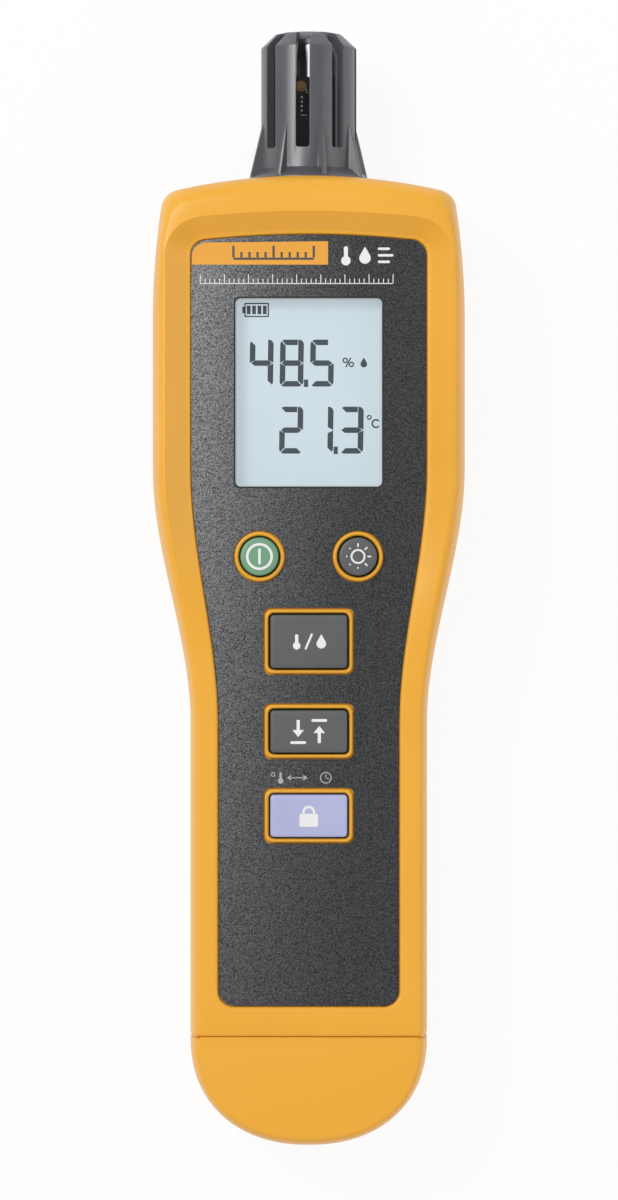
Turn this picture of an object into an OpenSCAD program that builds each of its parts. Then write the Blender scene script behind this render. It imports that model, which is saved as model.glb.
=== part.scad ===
// Handheld thermo-hygrometer lying on its back. +X to the right, +Y towards the sensor, +Z out of the face.
// The origin is on the rest face, in the middle of the length and width.

/* [Case shells] */
// Length of the two shells from the cap joint to the crown of the top arch
case_l = 171.7; // [170:0.1:180]
// Width across the head
head_w = 62.8; // [60:0.1:68]
// Width across the grip
grip_w = 47.6; // [47:0.1:52]
// Height of the front face of the grip above the rest face
case_t = 31.4; // [31:0.1:36]
// Height of the joint between the two shells
part_z = 15.5; // [15:0.1:17]
// Wall thickness of the shells
wall = 2; // [1.7:0.1:2.2]
// Distance from the crown of the top arch to where the grip starts to widen
waist_low = 109.4; // [104:0.1:114]
// Distance from the crown of the top arch to where the head is at its full width
waist_high = 58.4; // [52:0.1:64]
// Length of the narrowing at the top of the head
taper_l = 27.4; // [22:0.1:34]
// How much each side of the head narrows there
taper_w = 2.6; // [1:0.1:4]
// Radius of the arch across the top
arch_r = 127; // [110:1:160]
// Corner radius of the head seen from the front
corner_r = 3.6; // [2:0.1:5]
// Length over which the top rolls over towards the sensor
top_roll = 8; // [6:0.1:10]
// Width of the rounding along the front edges
front_round = 2.8; // [2:0.1:3.5]
// Width of the rounding along the rear edges
rear_round = 6; // [4:0.1:6.5]
// Rounding of the shell edges at the cap joint
joint_round = 0.7; // [0.3:0.1:1]

/* [Hood] */
// Rise of the hood above the front face of the grip
hood_h = 2.6; // [1.5:0.1:3.5]
// Width of the sloping band between the panel and the crest of the hood at the sides
hood_w = 4; // [3:0.1:4.5]
// Length of the sloping band above the panel
hood_l = 4.3; // [3:0.1:5]
// Distance from the crown of the top arch to where the hood starts to rise
hood_low = 96.7; // [92:0.1:101]
// Distance from the crown of the top arch to where the hood has its full height
hood_high = 61.7; // [56:0.1:67]

/* [Panel] */
// Width of the panel on the head
panel_head_w = 46.8; // [45:0.1:48]
// Width of the panel on the grip
panel_grip_w = 35.8; // [34:0.1:37]
// Distance from the cap joint to the lower edge of the panel
panel_low = 6; // [4:0.1:8]
// Distance from the crown of the top arch down to the upper edge of the panel
panel_drop = 12.1; // [11:0.1:14]
// Corner radius of the panel
panel_r = 3; // [2:0.1:4]
// Radius of the arch at the upper edge of the panel
panel_arch_r = 195; // [160:1:240]
// Depth of the panel floor below the front face of the grip
panel_depth = 1.3; // [1:0.1:1.5]
// Thickness of the face overlay
overlay_t = 0.5; // [0.3:0.05:0.6]

/* [Display] */
// Width of the display window
window_w = 29.6; // [27:0.1:31]
// Length of the display window
window_l = 37.9; // [35:0.1:39]
// Distance from the crown of the top arch to the middle of the window
window_drop = 43.5; // [42:0.1:44.5]
// Width of the glass of the display
lcd_w = 34; // [33.6:0.1:35]
// Length of the glass of the display
lcd_l = 45; // [44:0.1:46]
// Thickness of the glass of the display
lcd_t = 2; // [1.6:0.1:2.2]
// Thickness of the light guide
guide_t = 1.6; // [1.2:0.1:1.6]
// Wall of the display frame
frame_wall = 1.8; // [1.2:0.1:2]

/* [Keys] */
// Radius of the two round keys
round_key_r = 3.8; // [3.4:0.1:4.2]
// Distance between the two round keys
round_key_pitch = 19.6; // [18:0.1:20]
// Distance from the middle of the window to the round keys
round_key_drop = 32.7; // [31.5:0.1:33.5]
// Width of the three long keys
long_key_w = 15.3; // [14:0.1:16]
// Height of the mode key on the face
mode_key_l = 10.6; // [9:0.1:11]
// Height of the other two long keys on the face
short_key_l = 8.4; // [7.6:0.1:9]
// Distance from the round keys to the mode key
mode_key_drop = 16.9; // [16.4:0.1:18]
// Distance from the mode key to the extremes key
extremes_key_drop = 17.9; // [17:0.1:19]
// Distance from the extremes key to the hold key
hold_key_drop = 16.8; // [16:0.1:18]
// Corner radius of the long keys
key_corner_r = 0.7; // [0.5:0.1:1.5]
// Width of the raised ring around each key
ring_w = 1; // [0.7:0.1:1.2]
// Height of the rings above the face overlay
ring_h = 0.9; // [0.5:0.1:1.2]
// Height of the keys above the face overlay
key_h = 1.8; // [1.4:0.1:2.4]
// Travel of a key
key_travel = 1; // [0.5:0.1:1.2]
// Gap around a key
key_gap = 0.3; // [0.2:0.05:0.35]
// Width of the flange that keeps a key in the case
key_flange = 1.2; // [0.8:0.1:1.4]

/* [Main board] */
// Thickness of the boards
board_t = 1.6; // [1:0.1:1.8]
// Distance from the underside of the front wall to the board
board_drop = 5.5; // [5.4:0.1:6]
// Thickness of the keypad mat
mat_t = 0.8; // [0.5:0.1:1]
// Width of the board in the head
board_head_w = 49; // [48.5:0.1:51]
// Width of the board in the grip
board_grip_w = 38; // [37:0.1:39]

/* [Screws] */
// Radius of the case screws
screw_r = 1.45; // [1.2:0.05:1.6]
// Radius of the heads of the case screws
screw_head_r = 2.7; // [2.4:0.1:2.8]
// Length of the case screws under the head
screw_l = 14; // [12:0.5:15]
// Outer radius of the bosses of the case screws
boss_r = 3.4; // [3.3:0.1:3.6]
// Distance of the upper case screws from the middle
upper_screw_x = 23.6; // [23:0.1:24]
// Distance from the crown of the top arch to the upper case screws
upper_screw_drop = 15; // [13:0.1:15.5]
// Distance of the lower case screws from the middle
lower_screw_x = 17.3; // [17:0.1:17.6]
// Distance from the cap joint to the lower case screws
lower_screw_y = 58; // [56.5:0.1:59]
// Radius of the board screws
board_screw_r = 1; // [0.8:0.05:1.1]
// Length of the board screws under the head
board_screw_l = 5; // [4:0.1:6]

/* [Batteries] */
// Diameter of a cell
cell_d = 14.2; // [13.5:0.1:14.3]
// Length of a cell with its contact button
cell_l = 50.5; // [49:0.1:51]
// Play between neighbouring cells
cell_gap = 0.3; // [0.1:0.05:0.3]
// Thickness of the cover over the cells
bay_t = 1.5; // [1:0.1:1.8]
// Thickness of the stamped contacts
contact_t = 0.4; // [0.2:0.05:0.5]

/* [End cap] */
// Length of the end cap
cap_l = 21.9; // [20:0.1:26]
// Gap between the cap and the shells
cap_gap = 0.6; // [0.4:0.1:1]
// How far the spigot of the cap reaches into the shells
spigot_l = 6.5; // [5:0.1:7]
// Wall of the cap and its spigot
cap_wall = 2; // [1.6:0.1:2.4]
// Travel that takes the cap clear of the shells
cap_travel = 40; // [30:1:60]

/* [Sensor head] */
// Height of the sensor cage above the crown of the top arch
cage_l = 29.4; // [28:0.1:33]
// Outer radius of the cage
cage_r = 9.6; // [9.2:0.1:10]
// Wall of the cage
cage_wall = 1.8; // [1.4:0.1:2]
// Radius of the foot of the cage
foot_r = 12.4; // [11.6:0.1:12.6]
// Number of air slots around the cage
slot_count = 8; // [6:1:10]
// Width of an air slot
slot_w = 2.8; // [2:0.1:3]
// Turn of the first air slot away from the front
slot_turn = -7.5; // [-20:0.5:20]
// Height of the lower end of the air slots above the foot
slot_low = 6.6; // [5:0.1:8]
// Size of the chamfer around the top of the cage
cage_chamfer = 3.9; // [3:0.1:4.5]
// Thickness of the gusset ribs around the foot
rib_t = 1; // [0.7:0.1:1.3]
// Height of the gusset ribs
rib_l = 9.4; // [8:0.1:11]
// Radius of the neck of the cage
neck_r = 8.2; // [7.8:0.1:8.4]
// Width of the sensor board
sensor_board_w = 10.6; // [9:0.1:11]

/* [Hidden] */
$fn = 48;

// Places along Y
overall_l = cap_l + cap_gap + case_l + cage_l;
nose_y = -overall_l / 2;
cap_y = nose_y + cap_l;
joint_y = cap_y + cap_gap;
top_y = joint_y + case_l;
tip_y = top_y + cage_l;
panel_bottom_y = joint_y + panel_low;
panel_top_y = top_y - panel_drop;
lcd_y = top_y - window_drop;
round_key_y = lcd_y - round_key_drop;
mode_key_y = round_key_y - mode_key_drop;
extremes_key_y = mode_key_y - extremes_key_drop;
hold_key_y = extremes_key_y - hold_key_drop;

// Heights
floor_z = case_t - panel_depth;
face_z = floor_z + overlay_t;
under_z = floor_z - wall;
board_z = under_z - board_drop;
key_top_z = face_z + key_h;
flange_gap = 0.2;
flange_t = 1;
flange_z = under_z - flange_gap - flange_t;
slip = 0.1;
running = 0.25;
past = 1;
tiny = 0.01;

// Shape of the shells
side_power = 2.6;
rear_power = 3;
roll_power = 3;
taper_power = 1.75;
end_share = 0.45;
rear_roll = 0.7;
head_round = 0.5;
half_head = head_w / 2;
half_grip = grip_w / 2;
taper_y = top_y - taper_l;

function smooth(t) = t <= 0 ? 0 : t >= 1 ? 1 : t * t * (3 - 2 * t);
function super(t, p) = pow(max(0, 1 - pow(t, p)), 1 / p);
// Drop of an arch of radius r at distance x from its crown
function sag(x, r) = r - sqrt(r * r - x * x);

// Share of the way from the grip to the head at height y
function spread(y) = smooth((y - top_y + waist_low) / (waist_low - waist_high));
function taper(y) = taper_w * pow(max(0, y - taper_y) / taper_l, taper_power);
function side_w(y) = half_grip + (half_head - half_grip) * spread(y) - taper(y);
function panel_w(y) = panel_grip_w / 2 + (panel_head_w - panel_grip_w) / 2 * spread(y);
function crest_z(y) = case_t + hood_h * smooth((y - top_y + hood_low) / (hood_low - hood_high));

// Right half of the outline of the shells, from the cap joint up to the crown.
// Each point has a share of the sideways and of the lengthways inset that round the edges.
waist_steps = 14;
taper_steps = 4;
corner_steps = 5;
arch_steps = 5;
turn_y = top_y - sag(half_head - taper_w - corner_r, arch_r) - corner_r;
turn_x = side_w(turn_y) - corner_r;
turn_end = 90 - asin(turn_x / arch_r);
joint_marks = [0, 0.06, 0.25, 0.55, 1];
case_half = concat(
    [for (m = joint_marks) let (y = joint_y + m * joint_round) [side_w(y), y, 1, 0]],
    [
        for (i = [0:waist_steps])
            let (y = top_y - waist_low + (waist_low - waist_high) * i / waist_steps)
            [side_w(y), y, 1, 0]
    ],
    [
        for (i = [0:taper_steps - 1])
            let (k = i / taper_steps, y = taper_y + (turn_y - taper_y) * k)
            [side_w(y), y, 1, k]
    ],
    [
        for (i = [0:corner_steps])
            let (a = turn_end * i / corner_steps)
            [turn_x + corner_r * cos(a), turn_y + corner_r * sin(a), 1, 1]
    ],
    [for (i = [1:arch_steps]) let (k = 1 - i / arch_steps) [turn_x * k, top_y - sag(turn_x * k, arch_r), k, 1]]
);

// A right half whose last point is on the centre line, followed by its mirror image
function other_side(p) = [for (k = [0:len(p) - 1]) k == 0 ? -p[0] : p[k]];
function mirrored(half) = concat(half, [for (i = [len(half) - 2:-1:0]) other_side(half[i])]);
function joint_cut(y) = let (e = (y - joint_y) / joint_round) e >= 1 ? 0 : joint_round * (1 - super(1 - max(0, e), 2));

// Outline at share t of the way from the joint between the shells to the front or rear face
edge_steps = [0, 0.3, 0.5, 0.66, 0.79, 0.89, 0.96, 1];
function roll_inset(t) = t <= end_share ? 0 : top_roll * (1 - super((t - end_share) / (1 - end_share), roll_power));
function front_ring(t) = mirrored([
    for (q = case_half)
        let (cut = joint_cut(q[1]), rim = front_round + head_round * spread(q[1]))
        [
            q[0] - rim * (1 - super(t, side_power)) * q[2] - cut,
            q[1] - roll_inset(t) * q[3],
            part_z + (crest_z(q[1]) - cut - part_z) * t
        ]
]);
function rear_ring(t) = mirrored([
    for (q = case_half)
        let (cut = joint_cut(q[1]))
        [
            q[0] - rear_round * (1 - super(t, rear_power)) * q[2] - cut,
            q[1] - rear_roll * roll_inset(t) * q[3],
            part_z - (part_z - cut) * t
        ]
]);

// A solid skinned over stacked rings that mirror left to right, closed by flat strips
function turned(f) = [for (k = [len(f) - 1:-1:0]) f[k]];
module skin(rings, flip = false) {
    n = len(rings[0]);
    last = (len(rings) - 1) * n;
    middle = floor(n / 2);
    sides = [
        for (i = [0:len(rings) - 2], j = [0:n - 1])
            let (a = i * n + j, b = i * n + (j + 1) % n)
            each [[a, b + n, b], [a, a + n, b + n]]
    ];
    strips = [
        for (j = [0:middle - 1])
            j == middle - 1 ? [j, j + 1, n - 1 - j] : [j, j + 1, n - 2 - j, n - 1 - j]
    ];
    tops = [for (f = strips) turned([for (k = f) last + k])];
    faces = concat(sides, strips, tops);
    polyhedron([for (r = rings) each r], flip ? [for (f = faces) turned(f)] : faces);
}

module front_block() {
    skin([for (t = edge_steps) front_ring(t)]);
}

module rear_block() {
    skin([for (i = [len(edge_steps) - 1:-1:0]) rear_ring(edge_steps[i])]);
}

// A layer of the hollow in the shells, inset by g from their outline and open at the cap joint
module hollow_layer(g, z0, z1) {
    half = [for (q = case_half) [q[0] - g * q[2], q[1] - g * q[3] - (q[1] < joint_y + tiny ? past : 0)]];
    translate([0, 0, z0]) linear_extrude(z1 - z0) polygon(mirrored(half));
}

front_step = 1.8;
front_step_h = 8;
front_step_z = part_z + front_step_h;
module front_hollow() {
    hollow_layer(wall, part_z - past, front_step_z);
    hollow_layer(wall + front_step, front_step_z - tiny, under_z);
}

rear_step = 1.4;
rear_step_h = 3;
rear_step_z = wall + rear_step_h;
module rear_hollow() {
    hollow_layer(wall, rear_step_z, part_z + past);
    hollow_layer(wall + rear_step, wall, rear_step_z + tiny);
}

// Right half of an outline around the panel, grown outwards by g, from the lower edge up.
// Each point is followed by the outward direction there.
panel_side_steps = 22;
panel_arch_steps = 4;
function panel_half(g, r) =
    let (
        low = panel_bottom_y - g,
        high = panel_top_y + g,
        r_arch = panel_arch_r + g,
        w_low = panel_w(low) + g,
        w_high = panel_w(high) + g,
        x_turn = w_high - r,
        y_turn = high - sag(x_turn, r_arch) - r,
        lean = asin(x_turn / r_arch)
    )
    concat(
        [
            for (i = [0:corner_steps])
                let (a = -90 + 90 * i / corner_steps)
                [w_low - r + r * cos(a), low + r + r * sin(a), cos(a), sin(a)]
        ],
        [
            for (i = [1:panel_side_steps - 1])
                let (y = low + r + (y_turn - low - r) * i / panel_side_steps)
                [panel_w(y) + g, y, 1, 0]
        ],
        [
            for (i = [0:corner_steps])
                let (a = (90 - lean) * i / corner_steps)
                [x_turn + r * cos(a), y_turn + r * sin(a), cos(a), sin(a)]
        ],
        [
            for (i = [1:panel_arch_steps])
                let (x = x_turn * (1 - i / panel_arch_steps), a = asin(x / r_arch))
                [x, high - sag(x, r_arch), sin(a), cos(a)]
        ]
    );

function flat(points) = [for (q = points) [q[0], q[1]]];
module panel_outline() {
    polygon(mirrored(flat(panel_half(0, panel_r))));
}

// Tool that cuts the floor for the panel and the sloping band, which climbs to the crest of the hood
floor_play = 0.15;
foot_drop = 0.3;
overshoot = 1.06;
grip_band = 2.6;
low_band = 1.4;
function band_w(y) = grip_band + (hood_w - grip_band) * spread(y);
module hood_cut() {
    foot_z = case_t - foot_drop;
    half = panel_half(floor_play, panel_r + floor_play);
    deck = [for (q = half) [q[0], q[1], floor_z]];
    foot = [for (q = half) [q[0], q[1], foot_z]];
    crest = [
        for (q = half)
            let (
                out_x = band_w(q[1]) * q[2],
                out_y = (q[3] > 0 ? hood_l : low_band) * q[3],
                rise = crest_z(q[1]) - foot_z
            )
            [q[0] + out_x * overshoot, q[1] + out_y * overshoot, foot_z + rise * overshoot]
    ];
    head = [for (q = crest) [q[0], q[1], case_t + hood_h + past]];
    n = 2 * len(half) - 1;
    sides = [
        for (k = [0:2], j = [0:n - 1])
            let (a = k * n + j, b = k * n + (j + 1) % n)
            each [[a, a + n, b], [b, a + n, b + n]]
    ];
    polyhedron(
        concat(mirrored(deck), mirrored(foot), mirrored(crest), mirrored(head)),
        concat(sides, [[for (j = [0:n - 1]) j]], [[for (j = [n - 1:-1:0]) 3 * n + j]])
    );
}

module rounded_rect(w, l, r) {
    square([w - 2 * r, l], center = true);
    square([w, l - 2 * r], center = true);
    for (x = [-1, 1], y = [-1, 1])
        translate([x * (w / 2 - r), y * (l / 2 - r)]) circle(r);
}

module slab(w, l, r, z0, z1) {
    translate([0, 0, z0]) linear_extrude(z1 - z0) rounded_rect(w, l, r);
}

// The keys: place, and size on the face
long_keys = [
    [mode_key_y, mode_key_l],
    [extremes_key_y, short_key_l],
    [hold_key_y, short_key_l]
];
round_key_x = [-round_key_pitch / 2, round_key_pitch / 2];
ring_corner_r = key_corner_r + key_gap + ring_w / 2;

module at_round_keys() {
    for (x = round_key_x) translate([x, round_key_y, 0]) children();
}

module key_rings() {
    low = floor_z - wall / 2;
    high = face_z + ring_h;
    at_round_keys() translate([0, 0, low]) cylinder(r = round_key_r + key_gap + ring_w, h = high - low);
    for (k = long_keys)
        translate([0, k[0], 0])
            slab(long_key_w + 2 * (key_gap + ring_w), k[1] + 2 * (key_gap + ring_w), ring_corner_r, low, high);
}

module key_holes() {
    low = under_z - past;
    high = face_z + ring_h + past;
    at_round_keys() translate([0, 0, low]) cylinder(r = round_key_r + key_gap, h = high - low);
    for (k = long_keys)
        translate([0, k[0], 0])
            slab(long_key_w + 2 * key_gap, k[1] + 2 * key_gap, key_corner_r + key_gap, low, high);
}

// Screw places
case_screw_places = [
    [upper_screw_x, top_y - upper_screw_drop],
    [lower_screw_x, joint_y + lower_screw_y]
];
window_r = 1;
frame_w = lcd_w + 2 * (running + frame_wall);
frame_l = lcd_l + 2 * (running + frame_wall);
board_boss_r = 2.3;
upper_board_screw_rise = 19;
lower_board_screw_x = lower_screw_x - boss_r - board_boss_r - running;
lower_board_screw_drop = 5;
board_screw_places = [
    [frame_w / 2 + board_boss_r + running, lcd_y + upper_board_screw_rise],
    [lower_board_screw_x, hold_key_y - lower_board_screw_drop]
];
screw_seat_z = 6;
screw_gap = 0.05;
head_t = 2;
drive_l = 2.8;
drive_w = 0.7;
drive_depth = 0.9;
board_head_r = 1.9;
board_head_t = 1.3;
board_drive_l = 1.9;
board_drive_w = 0.5;
board_drive_depth = 0.5;

module both_x() {
    children();
    mirror([1, 0, 0]) children();
}

module at_case_screws() {
    both_x() for (p = case_screw_places) translate([p[0], p[1], 0]) children();
}

module at_board_screws() {
    both_x() for (p = board_screw_places) translate([p[0], p[1], 0]) children();
}

// Neck of the cage, where it passes the end wall of the case
axis_z = part_z;
seat_depth = 0.8;
seat_y = top_y - seat_depth;
gasket_t = 0.8;
collar_t = 1.8;
collar_w = 2;
collar_r = neck_r + collar_w;
collar_room = 6;
wall_in_y = top_y - wall;

module along_y(y0, y1, r) {
    translate([0, y0, axis_z]) rotate([-90, 0, 0]) cylinder(r = r, h = y1 - y0);
}

module neck_opening() {
    along_y(wall_in_y - collar_room, top_y + past, neck_r + running);
    along_y(seat_y, top_y + past, foot_r + running);
    along_y(wall_in_y - collar_room, wall_in_y, collar_r + running);
}

module front_case() {
    color("orange")
    difference() {
        union() {
            difference() {
                front_block();
                front_hollow();
                hood_cut();
            }
            key_rings();
            at_case_screws() translate([0, 0, part_z]) cylinder(r = boss_r, h = under_z - part_z + wall / 2);
            at_board_screws() translate([0, 0, board_z]) cylinder(r = board_boss_r, h = under_z - board_z + wall / 2);
        }
        key_holes();
        translate([0, lcd_y, 0]) slab(window_w, window_l, window_r, under_z - past, floor_z + past);
        at_case_screws()
            translate([0, 0, part_z - past])
                cylinder(r = screw_r + screw_gap, h = screw_l - (part_z - screw_seat_z) + 2 * past);
        at_board_screws() translate([0, 0, board_z - past]) cylinder(r = board_screw_r + screw_gap, h = board_screw_l + past);
        neck_opening();
    }
}

label_w = 32;
label_l = 46;
label_r = 2;
label_drop = 59.7;
label_y = top_y - label_drop;
label_t = 0.3;
label_depth = 0.4;

module rear_case() {
    color("orange")
    difference() {
        union() {
            difference() {
                rear_block();
                rear_hollow();
            }
            at_case_screws() translate([0, 0, wall / 2]) cylinder(r = boss_r, h = part_z - wall / 2 - slip);
        }
        at_case_screws() {
            translate([0, 0, -past]) cylinder(r = screw_head_r + running, h = screw_seat_z + past);
            translate([0, 0, -past]) cylinder(r = screw_r + running, h = part_z + 2 * past);
        }
        translate([0, label_y, 0])
            slab(label_w + 2 * running, label_l + 2 * running, label_r + running, -past, label_depth);
        neck_opening();
    }
}

module case_screws() {
    color("silver")
    at_case_screws() {
        translate([0, 0, screw_seat_z]) cylinder(r = screw_r, h = screw_l);
        difference() {
            translate([0, 0, screw_seat_z - head_t]) cylinder(r = screw_head_r, h = head_t);
            for (a = [0, 90])
                translate([0, 0, screw_seat_z - head_t]) rotate([0, 0, a])
                    cube([drive_l, drive_w, 2 * drive_depth], center = true);
        }
    }
}

module rear_label() {
    color("silver")
    translate([0, label_y, 0]) slab(label_w, label_l, label_r, label_depth - label_t, label_depth);
}

// The end cap: outline of its right half from the joint around the nose, with the shares of the insets
nose_power = 2.2;
nose_roll = 6.5;
nose_steps = 18;
share_power = 1.2;
cap_edge = 0.4;
cap_marks = [0, 0.06, 0.25, 0.55];
lift = 0.2;
cap_half = concat(
    [for (m = cap_marks) [half_grip, cap_y - m * cap_edge, 1, 0]],
    [
        for (i = [0:nose_steps])
            let (a = 90 * i / nose_steps, l = cap_l - cap_edge)
            [
                half_grip * pow(cos(a), 2 / nose_power), cap_y - cap_edge - l * pow(sin(a), 2 / nose_power),
                pow(cos(a), share_power), pow(sin(a), share_power)
            ]
    ]
);
function cap_cut(y) = let (e = (cap_y - y) / cap_edge) e >= 1 ? 0 : cap_edge * (1 - super(1 - max(0, e), 2));
function cap_ring(t, far_z, edge, p) = mirrored([
    for (q = cap_half)
        let (cut = cap_cut(q[1]), soft = 1 - super(t, p), h = far_z - part_z)
        [
            max(0, q[0] - edge * soft * q[2] - cut),
            q[1] + nose_roll * soft * q[3],
            part_z + (h - sign(h) * cut) * t
        ]
]);
cap_rings = concat(
    [for (i = [len(edge_steps) - 1:-1:1]) cap_ring(edge_steps[i], lift, rear_round, rear_power)],
    [for (t = edge_steps) cap_ring(t, case_t, front_round, side_power)]
);

// Spigot: it lines the mouth of the shells above the cells
cell_play = 0.3;
cell_z = wall + cell_play + cell_d / 2;
bay_z = cell_z + cell_d / 2 + cell_play;
spigot_low = bay_z + 2 * cell_play;
pocket_r = 3;
module mouth(g, y0, y1, low) {
    w = half_grip - wall - front_step - g;
    high = under_z - g;
    translate([0, y1, 0]) rotate([90, 0, 0]) linear_extrude(y1 - y0) {
        translate([-w, low]) square([2 * w, high - low - pocket_r]);
        translate([-w + pocket_r, low]) square([2 * (w - pocket_r), high - low]);
        for (x = [-1, 1]) translate([x * (w - pocket_r), high - pocket_r]) circle(pocket_r);
    }
}

// Pocket in the cap, with a ledge that the contact plate rests on
carrier_t = 1.6;
carrier_drop = 2.2;
carrier_y = cap_y - carrier_drop;
pocket_l = 12;
pocket_low = 2 * cap_wall;
ledge_w = 2;
module end_cap() {
    color("orange")
    difference() {
        union() {
            skin(cap_rings, true);
            mouth(running, cap_y - past, joint_y + spigot_l, spigot_low);
        }
        mouth(running + cap_wall, carrier_y - carrier_t, joint_y + spigot_l + past, pocket_low);
        mouth(running + cap_wall + ledge_w, cap_y - pocket_l, cap_y, pocket_low + ledge_w);
    }
}

module face_overlay() {
    color("dimgray")
    translate([0, 0, floor_z]) linear_extrude(overlay_t) difference() {
        panel_outline();
        at_round_keys() circle(round_key_r + key_gap + ring_w + slip);
        for (k = long_keys)
            translate([0, k[0]])
                rounded_rect(long_key_w + 2 * (key_gap + ring_w + slip), k[1] + 2 * (key_gap + ring_w + slip), ring_corner_r);
        translate([0, lcd_y]) rounded_rect(window_w, window_l, window_r);
    }
}

lens_flange = 1.7;
lens_flange_t = 0.9;
lens_flange_r = 1.5;
module display_window() {
    color("lightcyan")
    translate([0, lcd_y, 0]) {
        slab(window_w - 2 * slip, window_l - 2 * slip, window_r - slip, under_z - lens_flange_t / 2, face_z);
        slab(window_w + 2 * lens_flange, window_l + 2 * lens_flange, lens_flange_r, under_z - lens_flange_t, under_z);
    }
}

lcd_top_z = under_z - lens_flange_t - 2 * slip;
lcd_z = lcd_top_z - lcd_t;
guide_z = lcd_z - slip - guide_t;
glass_r = 0.4;
frame_r = 1.2;
frame_ledge = 2;
strip_l = 2.4;
strip_in = 0.4;
strip_margin = 1.5;
strip_y = lcd_y - lcd_l / 2 + strip_in;

module lcd_glass() {
    color("lightsteelblue")
    translate([0, lcd_y, 0]) slab(lcd_w, lcd_l, glass_r, lcd_z, lcd_top_z);
}

module display_frame() {
    color("white")
    translate([0, lcd_y, 0]) difference() {
        slab(frame_w, frame_l, frame_r, board_z, lcd_top_z);
        slab(lcd_w + 2 * running, lcd_l + 2 * running, glass_r + running, guide_z, lcd_top_z + past);
        slab(lcd_w - 2 * frame_ledge, lcd_l - 2 * frame_ledge, glass_r, board_z - past, guide_z + past);
        translate([-lcd_w / 2 + strip_margin - running, -lcd_l / 2 + strip_in - running, board_z - past])
            cube([lcd_w - 2 * (strip_margin - running), strip_l + 2 * running, guide_z - board_z + 2 * past]);
    }
}

guide_low_y = strip_y + strip_l + running;
guide_high_y = lcd_y + lcd_l / 2 - running;
module light_guide() {
    color("ivory")
    translate([0, (guide_low_y + guide_high_y) / 2, 0])
        slab(lcd_w - 2 * running, guide_high_y - guide_low_y, glass_r, guide_z, guide_z + guide_t);
}

module contact_strip() {
    color("pink")
    translate([-lcd_w / 2 + strip_margin, strip_y, board_z])
        cube([lcd_w - 2 * strip_margin, strip_l, lcd_z - board_z]);
}

board_low_margin = 9;
board_step_drop = 22.2;
board_high_drop = 12.5;
board_shoulder_drop = 22;
board_low_y = hold_key_y - board_low_margin;
board_step_y = lcd_y - board_step_drop;
board_high_y = top_y - board_high_drop;
board_shoulder_y = top_y - board_shoulder_drop;
module main_board() {
    color("darkgreen")
    difference() {
        translate([0, 0, board_z - board_t]) linear_extrude(board_t) difference() {
            union() {
                translate([-board_grip_w / 2, board_low_y]) square([board_grip_w, board_high_y - board_low_y]);
                translate([-board_head_w / 2, board_step_y]) square([board_head_w, board_shoulder_y - board_step_y]);
            }
            both_x() for (p = case_screw_places) translate(p) circle(boss_r + running);
        }
        at_board_screws()
            translate([0, 0, board_z - board_t - past]) cylinder(r = board_screw_r + slip, h = board_t + 2 * past);
    }
}

under_board_z = board_z - board_t;
module board_screws() {
    color("silver")
    at_board_screws() translate([0, 0, under_board_z]) {
        cylinder(r = board_screw_r, h = board_screw_l);
        difference() {
            translate([0, 0, -board_head_t]) cylinder(r = board_head_r, h = board_head_t);
            translate([0, 0, -board_head_t])
                cube([board_drive_l, board_drive_w, 2 * board_drive_depth], center = true);
        }
    }
}

// Parts on the underside of the board
chip_w = 10;
chip_t = 1.4;
pin_w = 0.4;
pin_l = 1.2;
pin_t = 0.3;
pin_pitch = 1;
pin_side = 4;
module processor() {
    color("black")
    translate([0, lcd_y, under_board_z - chip_t]) {
        translate([-chip_w / 2, -chip_w / 2, 0]) cube([chip_w, chip_w, chip_t]);
        for (turn = [0:3], i = [-pin_side:pin_side])
            rotate([0, 0, 90 * turn])
                translate([i * pin_pitch - pin_w / 2, chip_w / 2 - slip, chip_t - pin_t]) cube([pin_w, pin_l, pin_t]);
    }
}

crystal_w = 4;
crystal_l = 10;
crystal_t = 3;
crystal_r = 1.9;
crystal_x = 12;
crystal_drop = 8;
module crystal() {
    color("silver")
    translate([crystal_x, lcd_y - crystal_drop, 0])
        slab(crystal_w, crystal_l, crystal_r, under_board_z - crystal_t, under_board_z);
}

capacitor_r = 2.5;
capacitor_h = 6;
capacitor_x = [-14, -7];
capacitor_rise = 14;
module capacitors() {
    color("black")
    for (x = capacitor_x)
        translate([x, lcd_y + capacitor_rise, under_board_z - capacitor_h]) cylinder(r = capacitor_r, h = capacitor_h);
}

// Keypad: a silicone mat with openings over the contacts, and a dome under every key
dome_r = 4.4;
mat_hole_r = 3;
mat_w = 2 * (lower_board_screw_x - board_boss_r - running);
mat_margin = 6.5;
mat_side = 5;
key_places = concat(
    [for (x = round_key_x) [x, round_key_y]],
    [for (k = long_keys) [0, k[0]]]
);
mat_low_y = hold_key_y - mat_margin;
mat_high_y = round_key_y + mat_margin;
module keypad_mat() {
    color("lightgray")
    translate([0, 0, board_z]) linear_extrude(mat_t) difference() {
        union() {
            translate([-mat_w / 2, mat_low_y]) square([mat_w, mat_high_y - mat_low_y]);
            translate([-round_key_pitch / 2 - mat_side, mat_high_y - 2 * mat_margin])
                square([round_key_pitch + 2 * mat_side, 2 * mat_margin]);
        }
        for (p = key_places) translate(p) circle(mat_hole_r);
    }
}

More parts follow.
